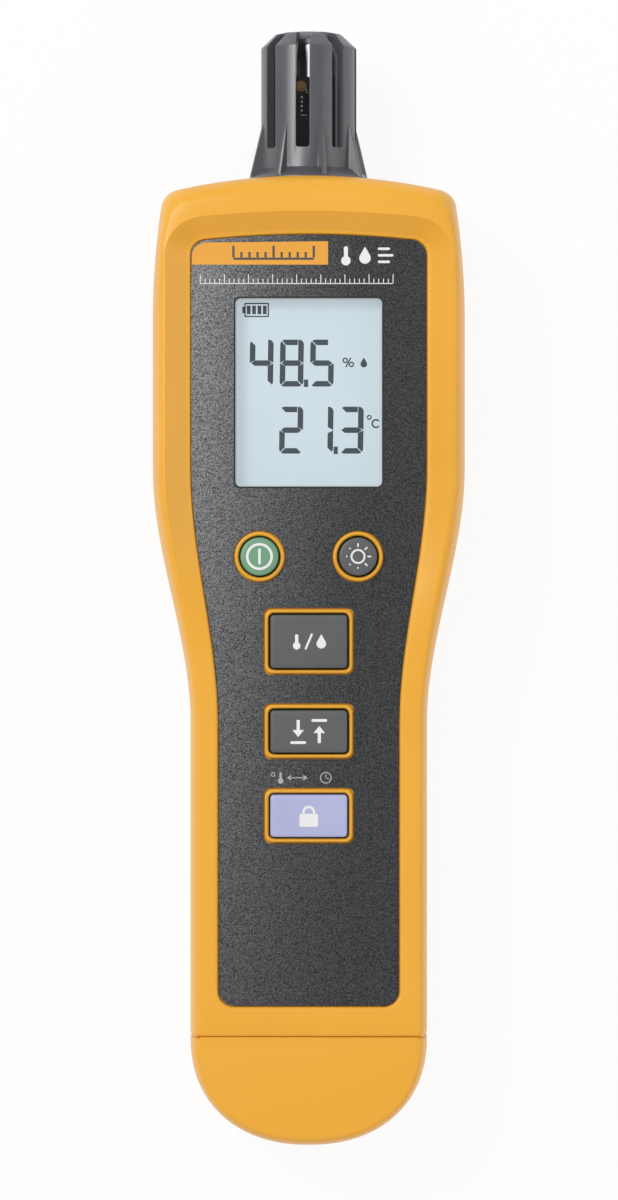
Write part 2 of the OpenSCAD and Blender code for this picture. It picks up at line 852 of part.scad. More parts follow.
dome_gap = 0.1;
dome_low_z = board_z + mat_t;
dome_h = flange_z - dome_gap - dome_low_z;
skirt_t = 0.5;
web_t = 0.4;
post_r = 2.3;
post_h = 0.9;
pill_r = 1.6;
pill_gap = 0.7;
module dome(place) {
    roof = dome_h - post_h;
    color("lightgray")
    translate([place[0], place[1], dome_low_z]) rotate_extrude() polygon([
        [mat_hole_r + running, 0], [dome_r, 0], [dome_r, skirt_t], [post_r, roof], [post_r, dome_h],
        [0, dome_h], [0, pill_gap], [pill_r, pill_gap], [pill_r, roof - web_t]
    ]);
}

module power_dome() { dome(key_places[0]); }
module backlight_dome() { dome(key_places[1]); }
module mode_dome() { dome(key_places[2]); }
module extremes_dome() { dome(key_places[3]); }
module hold_dome() { dome(key_places[4]); }

pad_t = 0.1;
module key_contacts() {
    color("gold")
    for (p = key_places) translate([p[0], p[1], board_z]) cylinder(r = mat_hole_r - running, h = pad_t);
}

edge_cut = 0.35;
module round_key(place, paint) {
    color(paint)
    translate([place[0], place[1], 0]) rotate_extrude() polygon([
        [0, flange_z], [round_key_r + key_flange, flange_z], [round_key_r + key_flange, flange_z + flange_t],
        [round_key_r, flange_z + flange_t], [round_key_r, key_top_z - edge_cut],
        [round_key_r - edge_cut, key_top_z], [0, key_top_z]
    ]);
}

module long_key(place, l, paint) {
    color(paint)
    translate([place[0], place[1], 0]) {
        slab(long_key_w + 2 * key_flange, l + 2 * key_flange, key_corner_r + key_flange, flange_z, flange_z + flange_t);
        slab(long_key_w, l, key_corner_r, flange_z, key_top_z - edge_cut);
        slab(long_key_w - 2 * edge_cut, l - 2 * edge_cut, key_corner_r, flange_z, key_top_z);
    }
}

module power_key() { round_key(key_places[0], "mediumseagreen"); }
module backlight_key() { round_key(key_places[1], "dimgray"); }
module mode_key() { long_key(key_places[2], mode_key_l, "dimgray"); }
module extremes_key() { long_key(key_places[3], short_key_l, "dimgray"); }
module hold_key() { long_key(key_places[4], short_key_l, "mediumpurple"); }

// Sensor cage, turned about its own axis along Y
foot_y = seat_y + slip;
foot_t = 0.7;
foot_cone = 2;
cone_y = foot_y + foot_t + foot_cone;
cage_in_r = cage_r - cage_wall;
disc_t = 1.4;
edge_break = 0.3;
neck_wall = 2;
neck_in_r = neck_r - neck_wall;
collar_y = wall_in_y - gasket_t;
slot_in_r = 5.4;
slot_corner_r = 0.6;
slot_low_y = foot_y + slot_low;

module ring_profile(pts) {
    translate([0, 0, axis_z]) rotate([-90, 0, 0]) rotate_extrude() polygon(pts);
}

module cage_turns() {
    for (i = [0:slot_count - 1])
        translate([0, 0, axis_z]) rotate([0, slot_turn + 360 / slot_count * i, 0]) children();
}

module slot_shape() {
    side = slot_w / 2 - slot_corner_r;
    high = tip_y + past - slot_low_y;
    translate([-slot_w / 2, slot_low_y + slot_corner_r]) square([slot_w, high - slot_corner_r]);
    translate([-side, slot_low_y]) square([2 * side, high]);
    for (x = [-side, side]) translate([x, slot_low_y + slot_corner_r]) circle(slot_corner_r);
}

module sensor_cage() {
    disc_y = tip_y - disc_t;
    rib_low_y = foot_y + foot_t / 2;
    rib_high_y = foot_y + foot_t + rib_l;
    color("dimgray")
    difference() {
        union() {
            ring_profile([
                [neck_in_r, collar_y - collar_t], [collar_r, collar_y - collar_t], [collar_r, collar_y],
                [neck_r, collar_y], [neck_r, foot_y], [foot_r, foot_y], [foot_r, foot_y + foot_t],
                [cage_r, cone_y], [cage_r, tip_y - cage_chamfer],
                [cage_r - cage_chamfer + edge_break, tip_y - edge_break],
                [cage_r - cage_chamfer - edge_break, tip_y], [0, tip_y],
                [0, disc_y], [slot_in_r, disc_y],
                [cage_in_r, disc_y - cage_chamfer + edge_break], [cage_in_r, cone_y], [neck_in_r, foot_y + foot_t]
            ]);
            cage_turns() rotate([0, 180 / slot_count, 0])
                translate([-rib_t / 2, 0, 0]) rotate([90, 0, 90]) linear_extrude(rib_t) polygon([
                    [rib_low_y, cage_r - rib_t], [rib_low_y, foot_r - edge_break],
                    [foot_y + 2 * foot_t, foot_r - edge_break], [rib_high_y, cage_r - slip],
                    [rib_high_y, cage_r - rib_t]
                ]);
        }
        cage_turns()
            translate([0, 0, slot_in_r]) linear_extrude(cage_r + past - slot_in_r) slot_shape();
    }
}

module cage_gasket() {
    color("black")
    difference() {
        along_y(collar_y, wall_in_y, collar_r);
        along_y(collar_y - past, wall_in_y + past, neck_r + slip);
    }
}

// Sensor board, joined to the main board by a header
sensor_lap = 5.5;
sensor_drop = 8.7;
sensor_board_low = board_high_y - sensor_lap;
sensor_board_high = tip_y - sensor_drop;
sensor_face_z = axis_z + board_t / 2;
module sensor_board() {
    color("black")
    translate([-sensor_board_w / 2, sensor_board_low, axis_z - board_t / 2])
        cube([sensor_board_w, sensor_board_high - sensor_board_low, board_t]);
}

humidity_w = 3.4;
humidity_l = 3.8;
humidity_t = 1.1;
humidity_hole_r = 0.9;
humidity_hole_depth = 0.4;
humidity_x = 0.5;
humidity_drop = 5.4;
humidity_pin = 0.4;
humidity_pin_t = 0.2;
humidity_pin_y = [-1.4, -0.5, 0.4, 1.3];
module humidity_sensor() {
    color("dimgray")
    translate([humidity_x, sensor_board_high - humidity_drop, sensor_face_z]) {
        difference() {
            translate([-humidity_w / 2, -humidity_l / 2, 0]) cube([humidity_w, humidity_l, humidity_t]);
            translate([0, 0, humidity_t - humidity_hole_depth]) cylinder(r = humidity_hole_r, h = past);
        }
        for (x = [-humidity_w / 2 - humidity_pin, humidity_w / 2], y = humidity_pin_y)
            translate([x, y - humidity_pin / 2, 0]) cube([humidity_pin, humidity_pin, humidity_pin_t]);
    }
}

thermistor_r = 1.1;
thermistor_t = 0.4;
bead_r = 0.7;
bead_h = 1.2;
thermistor_x = -1.5;
thermistor_drop = 1.9;
module thermistor() {
    color("gold")
    translate([thermistor_x, sensor_board_high - thermistor_drop, sensor_face_z]) {
        cylinder(r = thermistor_r, h = thermistor_t);
        cylinder(r = bead_r, h = bead_h);
    }
}

header_w = 10;
header_l = 2.5;
header_in = 0.5;
module sensor_header() {
    color("black")
    translate([-header_w / 2, sensor_board_low + header_in, sensor_face_z])
        cube([header_w, header_l, under_board_z - sensor_face_z]);
}

// Three cells side by side, the middle one the other way round
cell_pitch = cell_d + cell_gap;
cell_low_y = joint_y + slip;
cell_high_y = cell_low_y + cell_l;
button_l = 1.1;
button_r = 2.7;
module cell(x, turned_round) {
    color("royalblue")
    translate([x, cell_low_y + cell_l / 2, cell_z])
        rotate([turned_round ? 90 : -90, 0, 0]) translate([0, 0, -cell_l / 2]) {
            cylinder(r = cell_d / 2, h = cell_l - button_l);
            cylinder(r = button_r, h = cell_l);
        }
}

module left_cell() { cell(-cell_pitch, false); }
module middle_cell() { cell(0, true); }
module right_cell() { cell(cell_pitch, false); }

bay_wall_y = cell_high_y + slip + contact_t;
cover_play = 0.7;
cover_low_y = joint_y + spigot_l + cover_play;
cover_half_w = half_grip - wall - cover_play;
cover_end_half_w = cover_half_w - rear_step;
cover_rib_t = 1.2;
cover_rib_h = 3;
cover_open_l = 18;
module battery_cover() {
    color("darkslategray")
    difference() {
        union() {
            translate([-cover_half_w, cover_low_y, bay_z])
                cube([2 * cover_half_w, bay_wall_y - cover_open_l - cover_low_y, bay_t]);
            translate([-cover_end_half_w, bay_wall_y, wall + slip])
                cube([2 * cover_end_half_w, bay_t, bay_z - wall]);
            for (x = [-cell_pitch / 2, cell_pitch / 2])
                translate([x - cover_rib_t / 2, cover_low_y, bay_z - cover_rib_h])
                    cube([cover_rib_t, bay_wall_y + bay_t - cover_low_y, cover_rib_h + slip]);
        }
        at_case_screws() cylinder(r = boss_r + running, h = case_t);
    }
}

upper_contact_w = 8;
upper_contact_h = 9;
module upper_contacts() {
    color("silver")
    for (x = [-cell_pitch, 0, cell_pitch])
        translate([x - upper_contact_w / 2, bay_wall_y - contact_t, cell_z - upper_contact_h / 2])
            cube([upper_contact_w, contact_t, upper_contact_h]);
}

module cap_contact_plate() {
    color("black")
    mouth(running + cap_wall + slip, carrier_y - carrier_t, carrier_y, pocket_low + slip);
}

// Leaves that reach from the contact plate to the cells: a joined pair, and a single one
leaf_w = 6;
leaf_rise = cell_low_y - carrier_y - slip;
leaf_half = 3.1;
leaf_top_half = 1.8;
module leaf() {
    difference() {
        polygon([[-leaf_half, 0], [leaf_half, 0], [leaf_top_half, leaf_rise], [-leaf_top_half, leaf_rise]]);
        polygon([
            [-leaf_half + contact_t, -past], [leaf_half - contact_t, -past], [leaf_half - contact_t, 0],
            [leaf_top_half - contact_t, leaf_rise - contact_t], [-leaf_top_half + contact_t, leaf_rise - contact_t],
            [-leaf_half + contact_t, 0]
        ]);
    }
}

module cap_contacts() {
    color("silver")
    translate([0, carrier_y, cell_z - leaf_w / 2]) linear_extrude(leaf_w) {
        for (x = [-cell_pitch, 0, cell_pitch]) translate([x, 0]) leaf();
        translate([-cell_pitch + leaf_half - contact_t, 0]) square([cell_pitch - 2 * (leaf_half - contact_t), contact_t]);
    }
}

front_case();
rear_case();
end_cap();
face_overlay();
display_window();
lcd_glass();
display_frame();
light_guide();
contact_strip();
main_board();
processor();
crystal();
capacitors();
keypad_mat();
power_key();
backlight_key();
mode_key();
extremes_key();
hold_key();
power_dome();
backlight_dome();
mode_dome();
extremes_dome();
hold_dome();
key_contacts();
sensor_cage();
cage_gasket();
sensor_board();
humidity_sensor();
thermistor();
sensor_header();
left_cell();
middle_cell();
right_cell();
battery_cover();
upper_contacts();
cap_contact_plate();
cap_contacts();
case_screws();
board_screws();
rear_label();
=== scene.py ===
import bpy
from math import sin, cos, asin, atan, atan2, pi, sqrt, radians, degrees
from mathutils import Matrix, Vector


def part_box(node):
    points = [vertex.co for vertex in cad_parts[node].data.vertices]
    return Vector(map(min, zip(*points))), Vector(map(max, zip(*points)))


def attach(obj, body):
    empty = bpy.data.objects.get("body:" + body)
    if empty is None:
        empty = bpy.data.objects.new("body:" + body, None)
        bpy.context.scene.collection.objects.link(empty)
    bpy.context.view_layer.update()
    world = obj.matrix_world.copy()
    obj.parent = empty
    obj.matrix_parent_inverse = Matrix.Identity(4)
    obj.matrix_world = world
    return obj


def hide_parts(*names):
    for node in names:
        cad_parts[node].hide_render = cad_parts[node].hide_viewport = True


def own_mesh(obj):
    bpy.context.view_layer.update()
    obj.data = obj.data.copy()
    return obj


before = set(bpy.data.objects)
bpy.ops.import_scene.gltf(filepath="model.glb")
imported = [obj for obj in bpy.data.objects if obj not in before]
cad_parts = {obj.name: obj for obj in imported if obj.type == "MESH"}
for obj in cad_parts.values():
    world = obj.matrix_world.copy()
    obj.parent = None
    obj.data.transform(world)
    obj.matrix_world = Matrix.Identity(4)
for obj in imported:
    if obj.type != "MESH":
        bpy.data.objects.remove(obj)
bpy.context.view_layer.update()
print("frame loaded")

mm = 0.001


# small helpers
def pick(obj):
    bpy.ops.object.select_all(action="DESELECT")
    obj.select_set(True)
    bpy.context.view_layer.objects.active = obj


def applied(obj, kind, **values):
    pick(obj)
    mod = obj.modifiers.new(kind.lower(), kind)
    for key, value in values.items():
        setattr(mod, key, value)
    bpy.ops.object.modifier_apply(modifier=mod.name)


def smoothed(obj, angle):
    pick(obj)
    bpy.ops.object.shade_smooth_by_angle(angle=radians(angle))


def editAll(obj):
    pick(obj)
    bpy.ops.object.mode_set(mode="EDIT")
    bpy.ops.mesh.select_all(action="SELECT")


def editDone():
    bpy.ops.object.mode_set(mode="OBJECT")


def named(name):
    obj = bpy.context.object
    obj.name = name
    obj.data.name = name
    return obj


def loft(name, rows, tube=False):  # a skin over rows of points in millimetres, each row closed on itself
    rows = [[*row, row[0]] for row in rows]
    if tube:
        rows.append(rows[0])
    across, up = len(rows[0]), len(rows)
    bpy.ops.object.select_all(action="DESELECT")
    bpy.ops.mesh.primitive_grid_add(x_subdivisions=across - 1, y_subdivisions=up - 1, size=1)
    obj = named(name)
    for vert, place in zip(obj.data.vertices, [p for row in rows for p in row]):
        vert.co = [v * mm for v in place]
    editAll(obj)
    bpy.ops.mesh.remove_doubles(threshold=0.002 * mm)
    if not tube:  # both ends are filled
        bpy.ops.mesh.select_all(action="DESELECT")
        bpy.ops.mesh.select_mode(type="EDGE")
        bpy.ops.mesh.select_non_manifold(extend=False)
        bpy.ops.mesh.edge_face_add()
        bpy.ops.mesh.select_mode(type="VERT")
        bpy.ops.mesh.select_all(action="SELECT")
    bpy.ops.mesh.normals_make_consistent(inside=False)
    editDone()
    return obj


def prism(name, outline, z0, z1):  # a flat outline pulled up
    bpy.ops.object.select_all(action="DESELECT")
    bpy.ops.mesh.primitive_circle_add(vertices=len(outline), radius=mm, fill_type="NGON")
    obj = named(name)
    for vert, (x, y) in zip(obj.data.vertices, outline):
        vert.co = (x * mm, y * mm, z0 * mm)
    editAll(obj)
    bpy.ops.mesh.extrude_region_move(TRANSFORM_OT_translate={"value": (0, 0, (z1 - z0) * mm)})
    bpy.ops.mesh.select_all(action="SELECT")
    bpy.ops.mesh.normals_make_consistent(inside=False)
    editDone()
    return obj


def turn(x, y, r, a0, a1, count=12):
    angles = [radians(a0 + (a1 - a0) * i / count) for i in range(count + 1)]
    return [(x + r * cos(a), y + r * sin(a)) for a in angles]


def circle(r, x=0, y=0, count=64):
    return turn(x, y, r, 0, 360, count)[:-1]


def rect(x0, y0, x1, y1):
    return [(x0, y0), (x1, y0), (x1, y1), (x0, y1)]


def roundRect(w, l, r, x=0, y=0, count=6):
    pts = []
    for sideX, sideY, start in ((1, 1, 0), (-1, 1, 90), (-1, -1, 180), (1, -1, 270)):
        pts += turn(x + sideX * (w / 2 - r), y + sideY * (l / 2 - r), r, start, start + 90, count)
    return pts


def atHeight(outline, z):
    return [(*p, z) for p in outline]


def joined(name, parts):
    bpy.ops.object.select_all(action="DESELECT")
    for part in parts:
        part.select_set(True)
    bpy.context.view_layer.objects.active = parts[0]
    bpy.ops.object.join()
    return named(name)


def combined(obj, tool, how):
    applied(obj, "BOOLEAN", object=tool, operation=how, solver="EXACT")
    pick(tool)
    bpy.ops.object.delete()


def cut(obj, tool):
    combined(obj, tool, "DIFFERENCE")


def copied(node, name):  # a node's mesh is loose triangles, so the copy is merged first
    pick(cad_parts[node])
    bpy.ops.object.duplicate()
    obj = named(name)
    obj.data.materials.clear()
    obj.parent = None
    editAll(obj)
    bpy.ops.mesh.remove_doubles(threshold=0.01 * mm)
    bpy.ops.mesh.normals_make_consistent(inside=False)
    editDone()
    return obj


# case outline, in millimetres from the middle of the back
case = {
    "low": -89.4, "high": 82.4, "capTop": -89.8, "nose": -111.8,  # ends of the case and of its cap
    "split": 15.5, "top": 31.4,  # heights of the parting line and the face
    "hood": 2.6, "hoodFrom": (75, 110),  # what the hood adds, and where it rises, from the low end
    "halfGrip": 23.8, "halfHead": 31.4, "waist": (62.3, 113.3),  # where the grip widens to the head
    "taper": (27.4, 2.6, 1.75), "archR": 127, "cornerR": 3.6,  # the head's end: length, how much narrower, power
    "edge": 0.7, "footBend": 3.4, "seam": 0.3, "fit": 0.15,
    "band": (3.7, 1.25), "crestUp": 4.35, "crestDown": 1.4,  # the border around the panel
}
panel = {"low": -83.3, "high": 70.3, "halfHead": 23.4, "halfGrip": 17.9, "r": 3, "archR": 195, "floor": 30.1}
lip = {"w": 0.55, "low": 30.5, "drop": 0.04, "hoodDrop": 0.24, "angles": (18, 36, 54, 72, 90)}
# how many points each stretch of half the outline gets, and how they crowd towards the foot
stretch = {"foot": 10, "footCorner": 16, "crowd": 2.2, "side": 90, "topCorner": 20, "arch": 24}


def ease(t):
    t = min(1, max(0, t))
    return t * t * (3 - 2 * t)


def arc(t, power):  # 1 at t = 0 and 0 at t = 1, rounder with a larger power
    return max(0, 1 - max(0, t) ** power) ** (1 / power)


def sag(x, r):  # how far an arc of radius r has dropped at x from its middle
    return r - sqrt(r * r - x * x)


def rollIn(d, r):  # how far an edge rounded by r has drawn in at d past its start
    return r * (1 - sqrt(max(0, 1 - (max(0, d) / r) ** 2)))


def past(y, span):  # 0 before the span, 1 after it, measured up from the low end
    return ease((y - case["low"] - span[0]) / (span[1] - span[0]))


def onFoot(y):  # on the straight low end, where the cap meets the case
    return y < case["low"] + 0.001


def sideW(y):
    length, narrower, power = case["taper"]
    end = max(0, y - case["high"] + length) / length
    wider = (case["halfHead"] - case["halfGrip"]) * past(y, case["waist"])
    return case["halfGrip"] + wider - narrower * end ** power


def panelW(y):
    return panel["halfGrip"] + (panel["halfHead"] - panel["halfGrip"]) * past(y, case["waist"])


def bandW(y):
    return case["band"][0] + case["band"][1] * past(y, case["waist"])


def edgeCut(y):
    return rollIn(case["edge"] - (y - case["low"]), case["edge"])


def halfOutline():  # outer x, y, panel x, y, and the way outwards x, y, from the foot round to the arch
    gap = case["fit"]
    r = panel["r"] + gap
    low, high = panel["low"] - gap, panel["high"] + gap
    wLow, wHigh = panelW(low) + gap, panelW(high) + gap
    xTurn = wHigh - r
    yTurn = high - sag(xTurn, panel["archR"]) - r
    lean = asin(xTurn / panel["archR"])
    flat = case["halfGrip"] - case["footBend"]
    pts = []
    for i in range(stretch["foot"]):  # along the foot
        k = i / stretch["foot"]
        pts.append((k * flat, case["low"], k * (wLow - r), low, 0, -1))
    half = stretch["footCorner"] // 2
    for i in range(stretch["footCorner"] + 1):  # around its corner
        a = radians(-90 + 90 * i / stretch["footCorner"])
        if i <= half:
            x, y = flat + (case["footBend"] - case["edge"]) * i / half, case["low"]
        else:
            y = case["low"] + (low + r - case["low"]) * ((i - half) / half) ** stretch["crowd"]
            x = sideW(y) - edgeCut(y)
        pts.append((x, y, wLow - r + r * cos(a), low + r + r * sin(a), cos(a), sin(a)))
    for i in range(1, stretch["side"]):  # up the side
        y = low + r + (yTurn - low - r) * i / stretch["side"]
        pts.append((sideW(y), y, panelW(y) + gap, y, 1, 0))
    cr, archR = case["cornerR"], case["archR"]
    turnX = sideW(case["high"] - sag(sideW(case["high"]) - cr, archR) - cr) - cr
    turnY = case["high"] - archR + sqrt((archR - cr) ** 2 - turnX ** 2)  # the corner touches the arch
    turnEnd = pi / 2 - asin(turnX / archR)
    half = stretch["topCorner"] // 2
    for i in range(stretch["topCorner"] + 1):  # around the top corner
        a = (pi / 2 - lean) * i / stretch["topCorner"]
        if i < half:
            y = yTurn + (turnY - yTurn) * i / half
            x = sideW(y)
        else:
            b = turnEnd * (i - half) / half
            x, y = turnX + cr * cos(b), turnY + cr * sin(b)
        pts.append((x, y, xTurn + r * cos(a), yTurn + r * sin(a), cos(a), sin(a)))
    for i in range(1, stretch["arch"] + 1):  # along the arch to the middle
        k = 1 - i / stretch["arch"]
        x, panelX = turnX * k, xTurn * k
        a = asin(panelX / (panel["archR"] + gap))
        y, panelY = case["high"] - sag(x, archR), high - sag(panelX, panel["archR"] + gap)
        pts.append((x, y, panelX, panelY, sin(a), cos(a)))
    return pts


halfRing = halfOutline()


def bothSides(half):
    return half + [(-p[0], *p[1:]) for p in half[-2:0:-1]]


# rows of the shells, from the parting line outwards
def seamRow(z):  # drawn in a little, so that the two shells meet in a groove
    middle = (case["low"] + case["high"]) / 2
    kx, ky = 1 - case["seam"] / case["halfHead"], 1 - case["seam"] / (case["high"] - middle)
    return bothSides([(x * kx, y if y < 0 else middle + (y - middle) * ky, z) for x, y, *_ in halfRing])


def crestOf(q):  # the highest line of the border around the panel
    _, _, panelX, panelY, outX, outY = q
    y = panelY + (case["crestUp"] if outY > 0 else case["crestDown"]) * outY
    return panelX + bandW(panelY) * outX, y, case["top"] + case["hood"] * past(y, case["hoodFrom"])


def outerTop(q):  # where the outer side ends above a point of the outline
    x, y, outY = q[0], q[1], q[5]
    land = panel["halfGrip"] + case["fit"] + case["band"][0]
    if onFoot(y):
        return x * land / (case["halfGrip"] - case["edge"]), y + case["edge"], case["top"]
    if outY < 0:
        return land, max(y, case["low"] + case["edge"]), case["top"]
    return crestOf(q)


# shares of the height, closer where the side rolls over, and the powers of the roll
front = {
    "steps": [0.02, 0.15, 0.3, 0.42, 0.52, 0.6, 0.67, 0.73, 0.78, 0.825, 0.865, 0.9, 0.93, 0.955, 0.972, 0.985,
              0.994, 1],
    "sidePower": 2.6, "endPower": 3.6, "endFrom": 0.45, "smooth": 29,
    # over the border around the panel: share of the way in, lift
    "band": [(0.01, -0.02), (0.04, -0.02), (0.1, 0), (0.3, 0), (0.5, 0), (0.7, 0), (0.9, 0), (1, 0)],
}


def frontRow(t):  # t is 0 at the parting line and 1 at the crest
    row = []
    for q in halfRing:
        x, y = q[:2]
        topX, topY, topZ = outerTop(q)
        z = case["split"] + (topZ - case["split"]) * t
        if y < case["low"] + case["edge"]:
            inY = rollIn(z - (case["top"] - case["edge"]), case["edge"]) / case["edge"]
        else:
            inY = 1 - arc((t - front["endFrom"]) / (1 - front["endFrom"]), front["endPower"])
        row.append((x + (topX - x) * (1 - arc(t, front["sidePower"])), y + (topY - y) * inY, z))
    return bothSides(row)


def lipTop(y):  # height of the face beside the lip of the panel
    return case["top"] - lip["drop"] - lip["hoodDrop"] * past(y, case["hoodFrom"])


def bandRow(share, lift):  # from the crest in to the lip
    row = []
    for q in halfRing:
        _, y, panelX, panelY, outX, outY = q
        lipEdge = panelX + lip["w"] * outX, panelY + lip["w"] * outY, lipTop(y)
        x, y, z = (a + (b - a) * share for a, b in zip(crestOf(q), lipEdge))
        row.append((x, y, z + lift))
    return bothSides(row)


def lipRow(a):  # the lip rounds over into the recess
    out = lip["w"] * (1 - sin(a))
    row = []
    for _, y, panelX, panelY, outX, outY in halfRing:
        start = lipTop(y)
        row.append((panelX + out * outX, panelY + out * outY, start - (start - lip["low"]) * (1 - cos(a))))
    return bothSides(row)


# what is scooped out of the shells: layers of inset, low z, high z
scoop = {
    "front": [(2, 14.5, 23.5), (3.8, 23.5, 28.1)], "rear": [(3.4, 2, 5), (2, 5, 16.5)],
    "through": 1, "easeFrom": 55, "easeOver": 20, "headFrom": 78, "headOut": 0.3,
}


def hollow(layers):
    rows = []
    for inset, z0, z1 in layers:
        ring = []
        for x, y, _, _, _, outY in halfRing:
            innerY = y - inset * ease((y - scoop["easeFrom"]) / scoop["easeOver"])
            if onFoot(y):  # open towards the cap
                share = x / (case["halfGrip"] - case["edge"])
                ring.append((share * (case["halfGrip"] - inset), case["low"] - scoop["through"]))
            elif y > scoop["headFrom"] or outY > scoop["headOut"]:
                ring.append((x * (1 - inset / case["halfHead"]), innerY))
            else:
                ring.append((min(x, sideW(y)) - inset, innerY))
        rows += [atHeight(bothSides(ring), z0), atHeight(bothSides(ring), z1)]
    return loft("hollowTool", rows)


# openings of the front shell
keys = {
    "round": {"power": -9.8, "backlight": 9.8}, "roundY": 6.2, "roundR": 3.8,  # x
    "long": {"mode": (-10.7, 10.6), "extremes": (-28.6, 8.4), "hold": (-45.4, 8.4)}, "longW": 15.3,  # y, length
    "gap": 0.3, "holeR": 1, "cornerR": 0.7, "leastR": 0.15, "roundRing": 0.92, "longRing": 0.84, "flare": 0.55,
    "through": (26, 33), "smooth": 50,
}
window = {"w": 29.6, "l": 37.9, "r": 1, "y": 38.9, "near": 0.05, "upright": 0.1}
neck = {
    "axis": 15.5, "sides": 96,
    "steps": [(8.45, 74, 84), (12.65, 81.6, 84), (10.45, 74, 80.4)],  # radius, from y, to y
}
keyNames = [*keys["round"], *keys["long"]]


def keyOutline(name, grow, r):  # larger than the key by grow all round
    if name in keys["round"]:
        return circle(keys["roundR"] + grow, keys["round"][name], keys["roundY"])
    y, l = keys["long"][name]
    return roundRect(keys["longW"] + 2 * grow, l + 2 * grow, r, 0, y)


def neckTools():  # the neck of the cage sits in these three bores
    tools = []
    for r, y0, y1 in neck["steps"]:
        place = (0, (y0 + y1) / 2 * mm, neck["axis"] * mm)
        bpy.ops.mesh.primitive_cylinder_add(vertices=neck["sides"], radius=r * mm, depth=(y1 - y0) * mm,
                                            location=place, rotation=(pi / 2, 0, 0))
        tools.append(named("neckTool"))
        bpy.ops.object.transform_apply(location=True, rotation=True, scale=True)
    return tools


# front shell
rows = [seamRow(case["split"])] + [frontRow(t) for t in front["steps"]]
rows += [bandRow(share, lift) for share, lift in front["band"]]
rows += [lipRow(radians(a)) for a in lip["angles"]]
rows.append(bothSides([(panelX, panelY, panel["floor"]) for _, _, panelX, panelY, _, _ in halfRing]))
frontShell = loft("frontShell", rows)
cut(frontShell, hollow(scoop["front"]))
for name in keyNames:
    cut(frontShell, prism("keyTool", keyOutline(name, keys["gap"], keys["holeR"]), *keys["through"]))
opening = roundRect(window["w"], window["l"], window["r"], 0, window["y"])
cut(frontShell, prism("windowTool", opening, *keys["through"]))
for tool in neckTools():
    cut(frontShell, tool)
smoothed(frontShell, front["smooth"])
print("front shell", len(frontShell.data.polygons))

# rear shell
rear = {
    "steps": [0.02, 0.2, 0.38, 0.5, 0.6, 0.69, 0.76, 0.82, 0.87, 0.91, 0.94, 0.965, 0.983, 0.994, 1],
    "tuck": 6, "tuckUp": 5.6, "power": 3, "endFrom": 0.45, "upFrom": 55, "upOver": 24,
    "footFade": 20, "headFade": 24, "headFrom": 79, "headOut": 0.3, "smooth": 40,
}
screws = {"places": [(23.6, 67.4), (17.3, -31.3)], "r": 2.95, "sides": 40, "deep": 6}
label = {"w": 32.5, "l": 46.5, "r": 2.2, "y": 22.7, "deep": 0.4}
below = -1  # the tools for the back start under it


def rearRow(t):
    rolled = 1 - arc(t, rear["power"])
    rolledUp = 1 - arc((t - rear["endFrom"]) / (1 - rear["endFrom"]), rear["power"])
    row = []
    for x, y, _, _, _, outY in halfRing:
        share = min(1, x / rear["footFade"]) if onFoot(y) else 1
        if outY > rear["headOut"] or y > rear["headFrom"]:
            share = min(1, x / rear["headFade"])
        z = case["split"] * (1 - t)
        if onFoot(y):
            y += rollIn(case["edge"] - z, case["edge"])
        else:
            z += edgeCut(y) * t
            y -= rear["tuckUp"] * rolledUp * ease((y - rear["upFrom"]) / rear["upOver"])
        row.append((x - rear["tuck"] * rolled * share, y, z))
    return bothSides(row)


rearShell = loft("rearShell", [seamRow(case["split"])] + [rearRow(t) for t in rear["steps"]])
cut(rearShell, hollow(scoop["rear"]))
for side in (-1, 1):
    for x, y in screws["places"]:
        outline = circle(screws["r"], side * x, y, screws["sides"])
        cut(rearShell, prism("screwTool", outline, below, screws["deep"]))
outline = roundRect(label["w"], label["l"], label["r"], 0, label["y"])
cut(rearShell, prism("labelTool", outline, below, label["deep"]))
for tool in neckTools():
    cut(rearShell, tool)
smoothed(rearShell, rear["smooth"])
print("rear shell", len(rearShell.data.polygons))


# end cap
cap = {
    "power": 2.2, "fade": 1.2, "count": 48, "roll": 2.6, "lift": 0.2,
    "rearRim": (6, 3), "frontRim": (2.05, 2.6),  # how far the side tucks in, power of the roll
    "edge": 0.4, "edgeSteps": (0, 0.02, 0.1, 0.25, 0.5, 0.75), "tongue": 0.3, "tongueIn": 0.6, "smooth": 40,
}
spigot = {"half": 20, "high": 28.1, "r": 3, "slim": 0.25, "low": 17.4, "ends": (-90.9, -82.8)}
pockets = [(2.25, 4, -93.7, -81.8), (4.25, 6, -101.9, -89.9)]  # slimmer by, low z, from y, to y


def capRow(t, far, rim, power):  # far is the height that the row's side reaches at t = 1
    rolled = 1 - arc(t, power)
    rise = far - case["split"]
    length = case["capTop"] - case["nose"] - cap["edge"]
    spots = [(case["halfGrip"], case["capTop"] - share * cap["edge"], 1, 0) for share in cap["edgeSteps"]]
    for i in range(cap["count"] + 1):
        a = radians(90 * i / cap["count"])
        c, s = max(0, cos(a)), sin(a)
        x = case["halfGrip"] * c ** (2 / cap["power"])
        y = case["capTop"] - cap["edge"] - length * s ** (2 / cap["power"])
        spots.append((x, y, c ** cap["fade"], s ** cap["fade"]))
    row = []
    for x, y, sideways, ahead in spots:
        trim = rollIn(cap["edge"] - (case["capTop"] - y), cap["edge"])
        z = case["split"] + (rise - (trim if rise > 0 else -trim)) * t
        row.append((max(0, x - rim * rolled * sideways - trim), y + cap["roll"] * rolled * ahead, z))
    x, y, z = row[0]
    shown = cap["lift"] + cap["tongueIn"] < z < case["top"] - cap["tongueIn"]
    row.insert(0, (x - cap["tongue"], y + cap["tongue"] * shown, z))  # the low tongue that fills the parting gap
    return row + [(-x, y, z) for x, y, z in row[-2::-1]]


